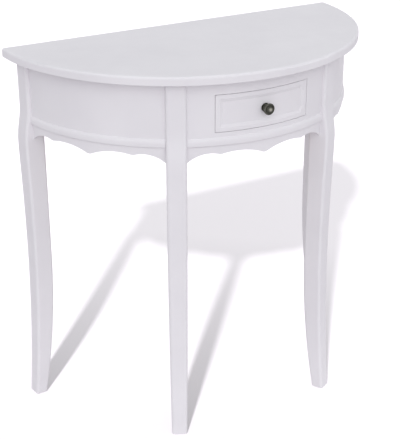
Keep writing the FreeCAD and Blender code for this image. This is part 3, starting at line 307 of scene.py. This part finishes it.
def satin_white(name, axis, bare_where=None):
    """White paint, with the bare board showing where a rule on the coordinates says so."""
    material, tree, shader, place = new_material(name)
    finish = paint_coat(tree, place, axis)
    if bare_where is not None:
        bare = planed_wood(tree, place, axis, BOARD, BROAD_RINGS)
        finish = mixed_finish(tree, bare_where(tree, place), finish, bare)
    dress_shader(tree, shader, finish)
    shader.inputs["IOR"].default_value = PAINT_IOR
    shader.inputs["Specular IOR Level"].default_value = PAINT_SPECULAR
    return material


def bend_reach(tree, axes):
    """The distance from the upright axis of the aprons' bend."""
    return reach_from_axis(tree, axes["X"], reckon(tree, "SUBTRACT", axes["Y"], BEND_AXIS_Y))


def below_top(tree, place):
    """1 under the top, inside the aprons and the back rail. The overhang is painted."""
    axes = split_axes(tree, place)
    under = reckon(tree, "LESS_THAN", axes["Z"], TOP_UNDERSIDE + FLAT_PAINT_EDGE)
    within = reckon(tree, "LESS_THAN", bend_reach(tree, axes), APRON_RADIUS - APRON_THICKNESS / 2)
    before_rail = reckon(tree, "LESS_THAN", axes["Y"], RAIL_MIDDLE_Y)
    return reckon(tree, "MULTIPLY", under, reckon(tree, "MULTIPLY", within, before_rail))


def inside_bend(tree, place):
    """1 on the hollow side of a bent panel."""
    reach = bend_reach(tree, split_axes(tree, place))
    return reckon(tree, "LESS_THAN", reach, APRON_RADIUS - APRON_THICKNESS + BENT_PAINT_EDGE)


def inside_rail(tree, place):
    return reckon(tree, "LESS_THAN", split_axes(tree, place)["Y"], RAIL_INSIDE_Y + FLAT_PAINT_EDGE)


def inside_drawer_front(tree, place):
    edge = DRAWER_FRONT_INSIDE_Y - FLAT_PAINT_EDGE
    return reckon(tree, "GREATER_THAN", split_axes(tree, place)["Y"], edge)


def bare_timber(name, axis, tones, ring_scale=BROAD_RINGS):
    material, tree, shader, place = new_material(name)
    dress_shader(tree, shader, planed_wood(tree, place, axis, tones, ring_scale))
    return material


def plated_metal(name, tones, roughness):
    """Plated or turned metal: mottled tone, fine drawn scratches."""
    material, tree, shader, place = new_material(name)
    mottle = noise(tree, place, per_metre=140.0, detail=4.0, roughness=0.6)
    scratches = noise(tree, drawn_out(tree, place, "Z", run=120, across=2500))
    colour = blend(tree, "RGBA", spread(tree, mottle, NOISE_MIDDLE), *tones)
    rough = spread(tree, mottle, NOISE_SPAN, to=roughness)
    dress_shader(tree, shader, (colour, rough, bumps(tree, scratches, depth=0.00002, strength=0.5)))
    shader.inputs["Metallic"].default_value = 1.0
    return material


def aged_knob_metal(name):
    """Dark turned metal: a blackened hollow ring, a dome and rim lightened by wear and a painted highlight,
    a trace of green.
    """
    material, tree, shader, place = new_material(name)
    axes = split_axes(tree, place)
    reach = reach_from_axis(tree, axes["X"], reckon(tree, "SUBTRACT", axes["Z"], KNOB_AXIS_HEIGHT))
    grain = noise(tree, place, per_metre=900.0, detail=4.0, roughness=0.6)
    patch = noise(tree, place, per_metre=170.0, detail=4.0, roughness=0.6)
    # Lighter towards the rim and the dome's middle: wear, and a painted highlight that is brightest at the
    # middle
    rim = spread(tree, reach, RIM_WEAR_HIGHLIGHT_REACH)
    dome = spread(tree, reach, DOME_WEAR_HIGHLIGHT_REACH)
    rubbing_and_highlight = reckon(tree, "MAXIMUM", reckon(tree, "MULTIPLY", rim, RIM_WEAR_HIGHLIGHT_SHARE), dome)
    wear_and_highlight = reckon(tree, "MULTIPLY", rubbing_and_highlight, spread(tree, patch, WEAR_HIGHLIGHT_PATCHES, to=WEAR_HIGHLIGHT_RANGE))
    colour = blend(tree, "RGBA", spread(tree, patch, NOISE_MIDDLE), KNOB_BLACK, KNOB_GREY)
    # The painted highlight and the wear lighten the dome and the rim
    colour = blend(tree, "RGBA", wear_and_highlight, colour, KNOB_RUBBED_HIGHLIGHT)
    greened = spread(tree, grain, GREEN_SPOTS, to=(0.0, GREEN_SHARE))
    colour = blend(tree, "RGBA", greened, colour, KNOB_GREEN)
    rough = reckon(tree, "SUBTRACT", spread(tree, grain, NOISE_SPAN, to=KNOB_ROUGHNESS),
                   reckon(tree, "MULTIPLY", wear_and_highlight, KNOB_POLISH))
    dress_shader(tree, shader, (colour, rough, bumps(tree, grain, depth=0.00010, strength=0.6)))
    shader.inputs["Metallic"].default_value = KNOB_METALLIC
    return material


paint_top = satin_white("paint_on_top", "X", below_top)
paint_bent = satin_white("paint_on_bent_panels", "Z", inside_bend)
paint_moulding = satin_white("paint_on_moulding", "Z")
paint_legs = satin_white("paint_on_legs", "Z")
paint_rail = satin_white("paint_on_back_rail", "X", inside_rail)
paint_drawer = satin_white("paint_on_drawer_front", "X", inside_drawer_front)
pine_runners = bare_timber("pine_runners", "Y", PINE)
pine_blocks = bare_timber("pine_blocks", "Z", PINE)
pine_drawer_sides = bare_timber("pine_drawer_sides", "Y", PINE, DRAWER_RINGS)
pine_drawer_back = bare_timber("pine_drawer_back", "X", PINE, DRAWER_RINGS)
ply_bottom = bare_timber("birch_ply_bottom", "X", BIRCH_PLY, PLY_RINGS)
beech_dowels = bare_timber("beech_dowels", "X", BEECH, DOWEL_RINGS)
zinc_steel = plated_metal("zinc_plated_steel", ZINC_TONES, ZINC_ROUGHNESS)
insert_brass = plated_metal("insert_brass", BRASS_TONES, BRASS_ROUGHNESS)
knob_metal = aged_knob_metal("aged_knob_metal")

FINISH_OF_NODE = {
    "table_top": paint_top,
    "front_apron": paint_bent, "left_apron": paint_bent, "right_apron": paint_bent,
    "front_bead": paint_moulding, "left_bead": paint_moulding, "right_bead": paint_moulding,
    "back_rail": paint_rail,
    "front_left_leg": paint_legs, "front_right_leg": paint_legs,
    "rear_left_leg": paint_legs, "rear_right_leg": paint_legs,
    "drawer_front": paint_drawer,
    "front_left_block": pine_blocks, "front_right_block": pine_blocks,
    "rear_left_block": pine_blocks, "rear_right_block": pine_blocks,
    "left_runner": pine_runners, "right_runner": pine_runners,
    "left_kicker": pine_runners, "right_kicker": pine_runners,
    "drawer_stops": pine_runners,
    "drawer_left_side": pine_drawer_sides, "drawer_right_side": pine_drawer_sides,
    "drawer_back": pine_drawer_back, "drawer_bottom": ply_bottom,
    "apron_dowels": beech_dowels, "rail_dowels": beech_dowels,
    "runner_dowels": beech_dowels, "drawer_dowels": beech_dowels,
    "leg_bolts": zinc_steel, "leg_washers": zinc_steel, "top_screws": zinc_steel,
    "block_screws": zinc_steel, "runner_screws": zinc_steel, "kicker_screws": zinc_steel,
    "bottom_screws": zinc_steel, "knob_screw": zinc_steel,
    "leg_inserts": insert_brass,
    "knob": knob_metal,
}
for node_name, finish in FINISH_OF_NODE.items():
    node_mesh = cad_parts[node_name].data
    node_mesh.materials.clear()
    node_mesh.materials.append(finish)


# Makers: node trees that shape what repeats or follows a path

# The least angle between faces that shows as a sharp edge
SHARP_EDGE = math.radians(35)


def new_maker(name, inputs):
    """An empty tree with named inputs: the tree, the inputs' identifiers, its input and its output."""
    tree = bpy.data.node_groups.new(name, "GeometryNodeTree")
    named = {}
    for label, kind in inputs:
        socket = tree.interface.new_socket(label, in_out="INPUT", socket_type=f"NodeSocket{kind}")
        named[label] = socket.identifier
    tree.interface.new_socket("Geometry", in_out="OUTPUT", socket_type="NodeSocketGeometry")
    return tree, named, tree.nodes.new("NodeGroupInput"), tree.nodes.new("NodeGroupOutput")


def finish_maker(tree, geometry, given, result):
    """Ends a tree: what it made becomes one mesh in its finish."""
    whole = tree.nodes.new("GeometryNodeRealizeInstances")
    tree.links.new(geometry, whole.inputs["Geometry"])
    dressed = tree.nodes.new("GeometryNodeSetMaterial")
    tree.links.new(whole.outputs["Geometry"], dressed.inputs["Geometry"])
    tree.links.new(given.outputs["Finish"], dressed.inputs["Material"])
    tree.links.new(dressed.outputs["Geometry"], result.inputs["Geometry"])


def grown(name, tree, settings, points=()):
    """A plain mesh piece with what a tree makes from points and settings, given by socket identifier."""
    seed_mesh = bpy.data.meshes.new(f"{name}_seed")
    seed_mesh.from_pydata(points, [], [])
    seed = bpy.data.objects.new(f"{name}_seed", seed_mesh)
    bpy.context.scene.collection.objects.link(seed)
    maker = seed.modifiers.new("maker", "NODES")
    maker.node_group = tree
    for identifier, setting in settings.items():
        maker[identifier] = setting
    evaluated = seed.evaluated_get(bpy.context.evaluated_depsgraph_get())
    mesh = bpy.data.meshes.new_from_object(evaluated)
    seed.modifiers.remove(maker)
    bpy.data.objects.remove(seed)
    mesh.name = name
    mesh.shade_smooth()
    mesh.set_sharp_from_angle(angle=SHARP_EDGE)
    piece = bpy.data.objects.new(name, mesh)
    bpy.context.scene.collection.objects.link(piece)
    return piece


# The moulding along each apron, in place of its plain strip

# Its section from top to foot: shares of its stand from the apron, and shares of its height
MOULDING_SECTION_SHARES = (
    (-0.3, 1.0), (0.0, 1.0), (0.06, 0.99), (0.15, 0.97), (0.26, 0.94), (0.39, 0.90), (0.54, 0.85),
    (0.69, 0.79), (0.82, 0.72), (0.92, 0.64), (0.98, 0.55), (1.0, 0.46), (1.0, 0.12), (0.96, 0.06),
    (0.88, 0.02), (0.74, 0.0), (-0.3, 0.0),
)
MOULDING_POINTS = 91
SIDE_TURN = (FRONT_LEG_ANGLE + REAR_LEG_ANGLE) / 2
SIDE_HALF_ANGLE = (REAR_LEG_ANGLE - FRONT_LEG_ANGLE) / 2
# Each panel's turn from the front, and half the angle between the legs beside it
PANELS = (
    ("front", 0.0, FRONT_LEG_ANGLE),
    ("left", -SIDE_TURN, SIDE_HALF_ANGLE),
    ("right", SIDE_TURN, SIDE_HALF_ANGLE),
)


def moulding_section():
    """The closed section of the strip, drawn flat: stand along X, height down Y, as the bender turns it."""
    drawing = bpy.data.curves.new("moulding_section", "CURVE")
    drawing.dimensions = "2D"
    drawing.fill_mode = "NONE"
    line = drawing.splines.new("POLY")
    line.points.add(len(MOULDING_SECTION_SHARES) - 1)
    for point, (stand, rise) in zip(line.points, MOULDING_SECTION_SHARES):
        point.co = (stand * MOULDING_STAND, -rise * MOULDING_HEIGHT, 0, 1)
    line.use_cyclic_u = True
    return bpy.data.objects.new("moulding_section", drawing)


def moulding_bender():
    """A tree that bends a section along an arc about the upright axis of the aprons."""
    tree, named, given, result = new_maker("moulding_bender", (
        ("Section", "Object"), ("Radius", "Float"), ("Start Angle", "Float"), ("Sweep Angle", "Float"),
        ("Place", "Vector"), ("Finish", "Material")))
    arc = tree.nodes.new("GeometryNodeCurveArc")
    arc.mode = "RADIUS"
    arc.inputs["Resolution"].default_value = MOULDING_POINTS
    for size in ("Radius", "Start Angle", "Sweep Angle"):
        tree.links.new(given.outputs[size], arc.inputs[size])
    upright = tree.nodes.new("GeometryNodeSetCurveNormal")
    upright.mode = "Z_UP"
    tree.links.new(arc.outputs["Curve"], upright.inputs["Curve"])
    section = tree.nodes.new("GeometryNodeObjectInfo")
    tree.links.new(given.outputs["Section"], section.inputs["Object"])
    strip = tree.nodes.new("GeometryNodeCurveToMesh")
    strip.inputs["Fill Caps"].default_value = True
    tree.links.new(upright.outputs["Curve"], strip.inputs["Curve"])
    tree.links.new(section.outputs["Geometry"], strip.inputs["Profile Curve"])
    placed = tree.nodes.new("GeometryNodeTransform")
    tree.links.new(strip.outputs["Mesh"], placed.inputs["Geometry"])
    tree.links.new(given.outputs["Place"], placed.inputs["Translation"])
    finish_maker(tree, placed.outputs["Geometry"], given, result)
    return tree, named


# An arc's angles run from +X, a quarter turn from the front
bender, bender_socket = moulding_bender()
section_drawing = moulding_section()
for panel, panel_turn, panel_half in PANELS:
    half_sweep = panel_half - math.asin(HALF_LEG / APRON_RADIUS)
    strip = grown(f"{panel}_moulding", bender, {
        bender_socket["Section"]: section_drawing,
        bender_socket["Radius"]: APRON_RADIUS,
        bender_socket["Start Angle"]: panel_turn - half_sweep - math.pi / 2,
        bender_socket["Sweep Angle"]: 2 * half_sweep,
        bender_socket["Place"]: (0.0, BEND_AXIS_Y, MOULDING_FOOT),
        bender_socket["Finish"]: paint_moulding,
    })
    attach(strip, "table")
    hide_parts(f"{panel}_bead")


# The screws whose heads can be seen, with rounded heads and a cross recess in place of plain ones

# The way each screw's head faces
SCREW_FACING = {
    "top_screws": Vector((0, 0, -1)),
    "kicker_screws": Vector((0, 0, -1)),
    "bottom_screws": Vector((0, 0, -1)),
    "runner_screws": Vector((0, 1, 0)),
    "knob_screw": Vector((0, 1, 0)),
}
# Shares of the head's radius
HEAD_HEIGHT_SHARE = 0.75
SHANK_RADIUS_SHARE = 0.5
RECESS_RUN_SHARE = 0.95
RECESS_WIDTH_SHARE = 0.24
# The share of its radius squared that a head loses towards its outer face
DRAWN_IN_SHARE = 0.66
HEAD_SIDES = 24
HEAD_RINGS = 5
SHANK_SIDES = 12
SHANK_RINGS = 1
TURN_SEED = 7
# How close points are that count as one, and how close to the outer face those are that lie on it
SAME_POINT = 1e-6
SAME_FACE = 1e-5


def screw_seats(node_name, facing):
    """The middle of each head's outer face, with the head's radius and the screw's length."""
    solid = bmesh.new()
    solid.from_mesh(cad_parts[node_name].data)
    bmesh.ops.remove_doubles(solid, verts=solid.verts, dist=SAME_POINT)
    left = set(solid.verts)
    seats = []
    for start in solid.verts:
        if start not in left:
            continue
        left.remove(start)
        reached = [start]
        for corner in reached:
            for edge in corner.link_edges:
                neighbour = edge.other_vert(corner)
                if neighbour in left:
                    left.remove(neighbour)
                    reached.append(neighbour)
        outer = max(corner.co.dot(facing) for corner in reached)
        inner = min(corner.co.dot(facing) for corner in reached)
        rim = [corner.co.copy() for corner in reached if outer - corner.co.dot(facing) < SAME_FACE]
        middle = sum(rim, Vector()) / len(rim)
        seats.append((middle, max((point - middle).length for point in rim), outer - inner))
    solid.free()
    return seats


def barrel(tree, sides, rings, radius, depth, foot):
    """An upright round bar from its foot upwards."""
    bar = tree.nodes.new("GeometryNodeMeshCone")
    bar.inputs["Vertices"].default_value = sides
    bar.inputs["Side Segments"].default_value = rings
    for end in ("Radius Top", "Radius Bottom"):
        tree.links.new(radius, bar.inputs[end])
    tree.links.new(depth, bar.inputs["Depth"])
    moved = tree.nodes.new("GeometryNodeTransform")
    tree.links.new(join_axes(tree, 0.0, 0.0, foot), moved.inputs["Translation"])
    tree.links.new(bar.outputs["Mesh"], moved.inputs["Geometry"])
    return moved.outputs["Geometry"]


def rounded_head(tree, radius, height):
    """A screw head with its outer face at zero, drawn in towards that face as a dome."""
    foot = reckon(tree, "MULTIPLY", height, -1.0)
    head = barrel(tree, HEAD_SIDES, HEAD_RINGS, radius, height, foot)
    place = tree.nodes.new("GeometryNodeInputPosition")
    axes = split_axes(tree, place.outputs["Position"])
    rise = reckon(tree, "ADD", reckon(tree, "DIVIDE", axes["Z"], height), 1.0)
    rise_squared = reckon(tree, "MULTIPLY", rise, rise)
    kept = reckon(tree, "SUBTRACT", 1.0, reckon(tree, "MULTIPLY", DRAWN_IN_SHARE, rise_squared))
    width = reckon(tree, "SQRT", kept)
    domed = join_axes(tree, reckon(tree, "MULTIPLY", axes["X"], width),
                      reckon(tree, "MULTIPLY", axes["Y"], width), axes["Z"])
    shaped = tree.nodes.new("GeometryNodeSetPosition")
    tree.links.new(head, shaped.inputs["Geometry"])
    tree.links.new(domed, shaped.inputs["Position"])
    return shaped.outputs["Geometry"]


def cross_recessed(tree, head, radius, height):
    """The head with a cross sunk into its outer face, half as deep as the head is high."""
    cut = tree.nodes.new("GeometryNodeMeshBoolean")
    cut.operation = "DIFFERENCE"
    cut.solver = "MANIFOLD"
    tree.links.new(head, cut.inputs["Mesh 1"])
    run = reckon(tree, "MULTIPLY", radius, RECESS_RUN_SHARE)
    width = reckon(tree, "MULTIPLY", radius, RECESS_WIDTH_SHARE)
    for size in ((run, width, height), (width, run, height)):
        cutter = tree.nodes.new("GeometryNodeMeshCube")
        tree.links.new(join_axes(tree, *size), cutter.inputs["Size"])
        tree.links.new(cutter.outputs["Mesh"], cut.inputs["Mesh 2"])
    return cut.outputs["Mesh"]


def screw_maker():
    """A tree that sets a screw with a cross recess on each point, its head facing one way."""
    tree, named, given, result = new_maker("screw_maker", (
        ("Seats", "Geometry"), ("Head Radius", "Float"), ("Length", "Float"),
        ("Facing", "Vector"), ("Turn Seed", "Int"), ("Finish", "Material")))
    radius = given.outputs["Head Radius"]
    length = given.outputs["Length"]
    height = reckon(tree, "MULTIPLY", radius, HEAD_HEIGHT_SHARE)
    head = cross_recessed(tree, rounded_head(tree, radius, height), radius, height)
    shank = barrel(tree, SHANK_SIDES, SHANK_RINGS, reckon(tree, "MULTIPLY", radius, SHANK_RADIUS_SHARE),
                   reckon(tree, "SUBTRACT", length, height), reckon(tree, "MULTIPLY", length, -1.0))
    screw = tree.nodes.new("GeometryNodeJoinGeometry")
    tree.links.new(head, screw.inputs["Geometry"])
    tree.links.new(shank, screw.inputs["Geometry"])
    turn = tree.nodes.new("FunctionNodeRandomValue")
    turn.data_type = "FLOAT_VECTOR"
    turn.inputs["Min"].default_value = (0, 0, 0)
    turn.inputs["Max"].default_value = (0, 0, math.pi / 2)
    tree.links.new(given.outputs["Turn Seed"], turn.inputs["Seed"])
    aimed = tree.nodes.new("FunctionNodeAlignRotationToVector")
    tree.links.new(turn.outputs["Value"], aimed.inputs["Rotation"])
    tree.links.new(given.outputs["Facing"], aimed.inputs["Vector"])
    placed = tree.nodes.new("GeometryNodeInstanceOnPoints")
    tree.links.new(given.outputs["Seats"], placed.inputs["Points"])
    tree.links.new(screw.outputs["Geometry"], placed.inputs["Instance"])
    tree.links.new(aimed.outputs["Rotation"], placed.inputs["Rotation"])
    finish_maker(tree, placed.outputs["Instances"], given, result)
    return tree, named


driver, driver_socket = screw_maker()
for node_name, facing in SCREW_FACING.items():
    seats = screw_seats(node_name, facing)
    _, head_radius, screw_length = seats[0]
    screws = grown(f"crossed_{node_name}", driver, {
        driver_socket["Head Radius"]: head_radius,
        driver_socket["Length"]: screw_length,
        driver_socket["Facing"]: facing,
        driver_socket["Turn Seed"]: TURN_SEED,
        driver_socket["Finish"]: zinc_steel,
    }, [tuple(middle) for middle, _, _ in seats])
    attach(screws, "drawer" if node_name in ("bottom_screws", "knob_screw") else "table")
    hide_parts(node_name)


# Camera, as the photograph was taken

CAMERA_PLACE = (-1.124031, -1.889411, 1.407408)
CAMERA_YAW = math.radians(29.5803)
CAMERA_PITCH = math.radians(24.4887)
CAMERA_ROLL = math.radians(-0.1351)
FOCAL_PIXELS = 1099.024
IMAGE_HEIGHT_PIXELS = 439
SENSOR_MM = 36.0


def aim_camera():
    """From the left of the front and above, with the photograph's field of view and slight roll."""
    level = math.cos(CAMERA_PITCH)
    ahead = Vector((math.sin(CAMERA_YAW) * level, math.cos(CAMERA_YAW) * level, -math.sin(CAMERA_PITCH)))
    right = Vector((math.cos(CAMERA_YAW), -math.sin(CAMERA_YAW), 0))
    up = right.cross(ahead)
    right_rolled = right * math.cos(CAMERA_ROLL) + up * math.sin(CAMERA_ROLL)
    up_rolled = up * math.cos(CAMERA_ROLL) - right * math.sin(CAMERA_ROLL)
    data = bpy.data.cameras.new("photo_camera")
    data.sensor_width = SENSOR_MM
    data.lens = FOCAL_PIXELS * SENSOR_MM / IMAGE_HEIGHT_PIXELS
    camera = bpy.data.objects.new("photo_camera", data)
    turn = Matrix((right_rolled, up_rolled, -ahead)).transposed().to_4x4()
    camera.matrix_world = Matrix.Translation(CAMERA_PLACE) @ turn
    bpy.context.scene.collection.objects.link(camera)
    bpy.context.scene.camera = camera


# Light and floor

WHITE = (1, 1, 1, 1)
FLOOR_REACH = 14.0
# The floor as it is seen, what it throws back onto the table from near and far, and how far those are
FLOOR_SEEN = (0.36, 0.343, 0.363, 1)
FLOOR_THROWN_NEAR = (0.285, 0.272, 0.288, 1)
FLOOR_THROWN_FAR = (0.20, 0.191, 0.202, 1)
FLOOR_THROWN_REACH = (0.35, 1.3)
# The way of the light that throws the floor shadow, where the shadow begins and over what length it pales
SHADOW_WAY = Vector((0.515, 0.609, -0.603))
SHADOW_START = Vector((-0.19, -0.15, 0.0))
SHADOW_RUN = 1.0
SHADOW_LAMP_POWER = 7.4
SHADOW_LAMP_DEGREES = 3.0
# The glow that makes the lit floor white, at the start of the shadow and at its end
GLOW_TINT = (1, 0.975, 1, 1)
GLOW_LEVELS = (0.24, 0.53)
FRONT_LAMP_WAY = Vector((0.36, 0.83, -0.34))
FRONT_LAMP_POWER = 0.84
FRONT_LAMP_DEGREES = 60.0
# Where the sky is brightest, how a way's likeness to it runs from back to front, and the sky's level there
FRONT_WAY = Vector((-0.37, -0.93, 0.0))
BACK_TO_FRONT = (-1.0, 1.0)
SKY_TINT = (0.975, 0.997, 1.02, 1)
SKY_LEVELS = (0.60, 1.01)
SKY_SEEN_LEVEL = 1.0


def seen_rays(tree):
    """1 for what the camera sees straight on, in a mirror or through glass."""
    path = tree.nodes.new("ShaderNodeLightPath")
    mirrored = reckon(tree, "MAXIMUM", path.outputs["Is Glossy Ray"], path.outputs["Is Transmission Ray"])
    return reckon(tree, "MAXIMUM", path.outputs["Is Camera Ray"], mirrored)


def floor_colour(tree, place, seen):
    """Its own colour where it is seen, and for the light thrown back one that darkens with distance."""
    reach = spread(tree, reckon_vector(tree, "LENGTH", place), FLOOR_THROWN_REACH)
    thrown = blend(tree, "RGBA", reach, FLOOR_THROWN_NEAR, FLOOR_THROWN_FAR)
    return blend(tree, "RGBA", seen, thrown, FLOOR_SEEN)


def floor_glow(tree, place, seen):
    """A glow for seen rays alone, which grows along the shadow so that the shadow pales."""
    flat_way = Vector((SHADOW_WAY.x, SHADOW_WAY.y, 0.0)).normalized()
    begin = flat_way.dot(SHADOW_START)
    run = reckon_vector(tree, "DOT_PRODUCT", place, flat_way)
    level = spread(tree, run, (begin, begin + SHADOW_RUN), to=GLOW_LEVELS)
    return reckon(tree, "MULTIPLY", seen, level)


def pale_floor():
    """A floor that is white where it is lit, and clear from below."""
    material = bpy.data.materials.new("pale_floor")
    tree = cleared_tree(material)
    output = tree.nodes.new("ShaderNodeOutputMaterial")
    place = tree.nodes.new("ShaderNodeTexCoord").outputs["Object"]
    seen = seen_rays(tree)
    cover = tree.nodes.new("ShaderNodeBsdfDiffuse")
    tree.links.new(floor_colour(tree, place, seen), cover.inputs["Color"])
    glow = tree.nodes.new("ShaderNodeEmission")
    glow.inputs["Color"].default_value = GLOW_TINT
    tree.links.new(floor_glow(tree, place, seen), glow.inputs["Strength"])
    both = tree.nodes.new("ShaderNodeAddShader")
    tree.links.new(cover.outputs["BSDF"], both.inputs[0])
    tree.links.new(glow.outputs["Emission"], both.inputs[1])
    side = tree.nodes.new("ShaderNodeNewGeometry")
    clear = tree.nodes.new("ShaderNodeBsdfTransparent")
    one_sided = tree.nodes.new("ShaderNodeMixShader")
    tree.links.new(side.outputs["Backfacing"], one_sided.inputs["Fac"])
    tree.links.new(both.outputs["Shader"], one_sided.inputs[1])
    tree.links.new(clear.outputs["BSDF"], one_sided.inputs[2])
    tree.links.new(one_sided.outputs["Shader"], output.inputs["Surface"])
    return material


def lay_floor():
    mesh = bpy.data.meshes.new("floor")
    corners = [(-FLOOR_REACH, -FLOOR_REACH, 0), (FLOOR_REACH, -FLOOR_REACH, 0),
               (FLOOR_REACH, FLOOR_REACH, 0), (-FLOOR_REACH, FLOOR_REACH, 0)]
    mesh.from_pydata(corners, [], [(0, 1, 2, 3)])
    mesh.materials.append(pale_floor())
    floor = bpy.data.objects.new("floor", mesh)
    bpy.context.scene.collection.objects.link(floor)
    return floor


def hang_sun(name, power, degrees, way):
    """A far lamp: its power, how wide it looks and the way its light travels."""
    lamp = bpy.data.lights.new(name, "SUN")
    lamp.energy = power
    lamp.angle = math.radians(degrees)
    sun = bpy.data.objects.new(name, lamp)
    sun.rotation_mode = "QUATERNION"
    sun.rotation_quaternion = way.to_track_quat("-Z", "Y")
    bpy.context.scene.collection.objects.link(sun)
    return sun


def hang_lamps(floor):
    """A lamp for the floor alone that throws the shadow, and a soft front lamp."""
    shadow_lamp = hang_sun("shadow_lamp", SHADOW_LAMP_POWER, SHADOW_LAMP_DEGREES, SHADOW_WAY)
    floor_only = bpy.data.collections.new("floor_only")
    floor_only.objects.link(floor)
    shadow_lamp.light_linking.receiver_collection = floor_only
    hang_sun("front_lamp", FRONT_LAMP_POWER, FRONT_LAMP_DEGREES, FRONT_LAMP_WAY)


def open_sky():
    """A sky that is brighter in front, and plain white where it is seen."""
    world = bpy.data.worlds.new("white_studio")
    tree = cleared_tree(world)
    output = tree.nodes.new("ShaderNodeOutputWorld")
    sky = tree.nodes.new("ShaderNodeBackground")
    seen = seen_rays(tree)
    tree.links.new(blend(tree, "RGBA", seen, SKY_TINT, WHITE), sky.inputs["Color"])
    way = tree.nodes.new("ShaderNodeTexCoord").outputs["Generated"]
    likeness = reckon_vector(tree, "DOT_PRODUCT", way, FRONT_WAY)
    level = spread(tree, likeness, BACK_TO_FRONT, to=SKY_LEVELS)
    tree.links.new(blend(tree, "FLOAT", seen, level, SKY_SEEN_LEVEL), sky.inputs["Strength"])
    tree.links.new(sky.outputs["Background"], output.inputs["Surface"])
    bpy.context.scene.world = world


aim_camera()
hang_lamps(lay_floor())
open_sky()
bpy.context.scene.view_settings.view_transform = "Standard"
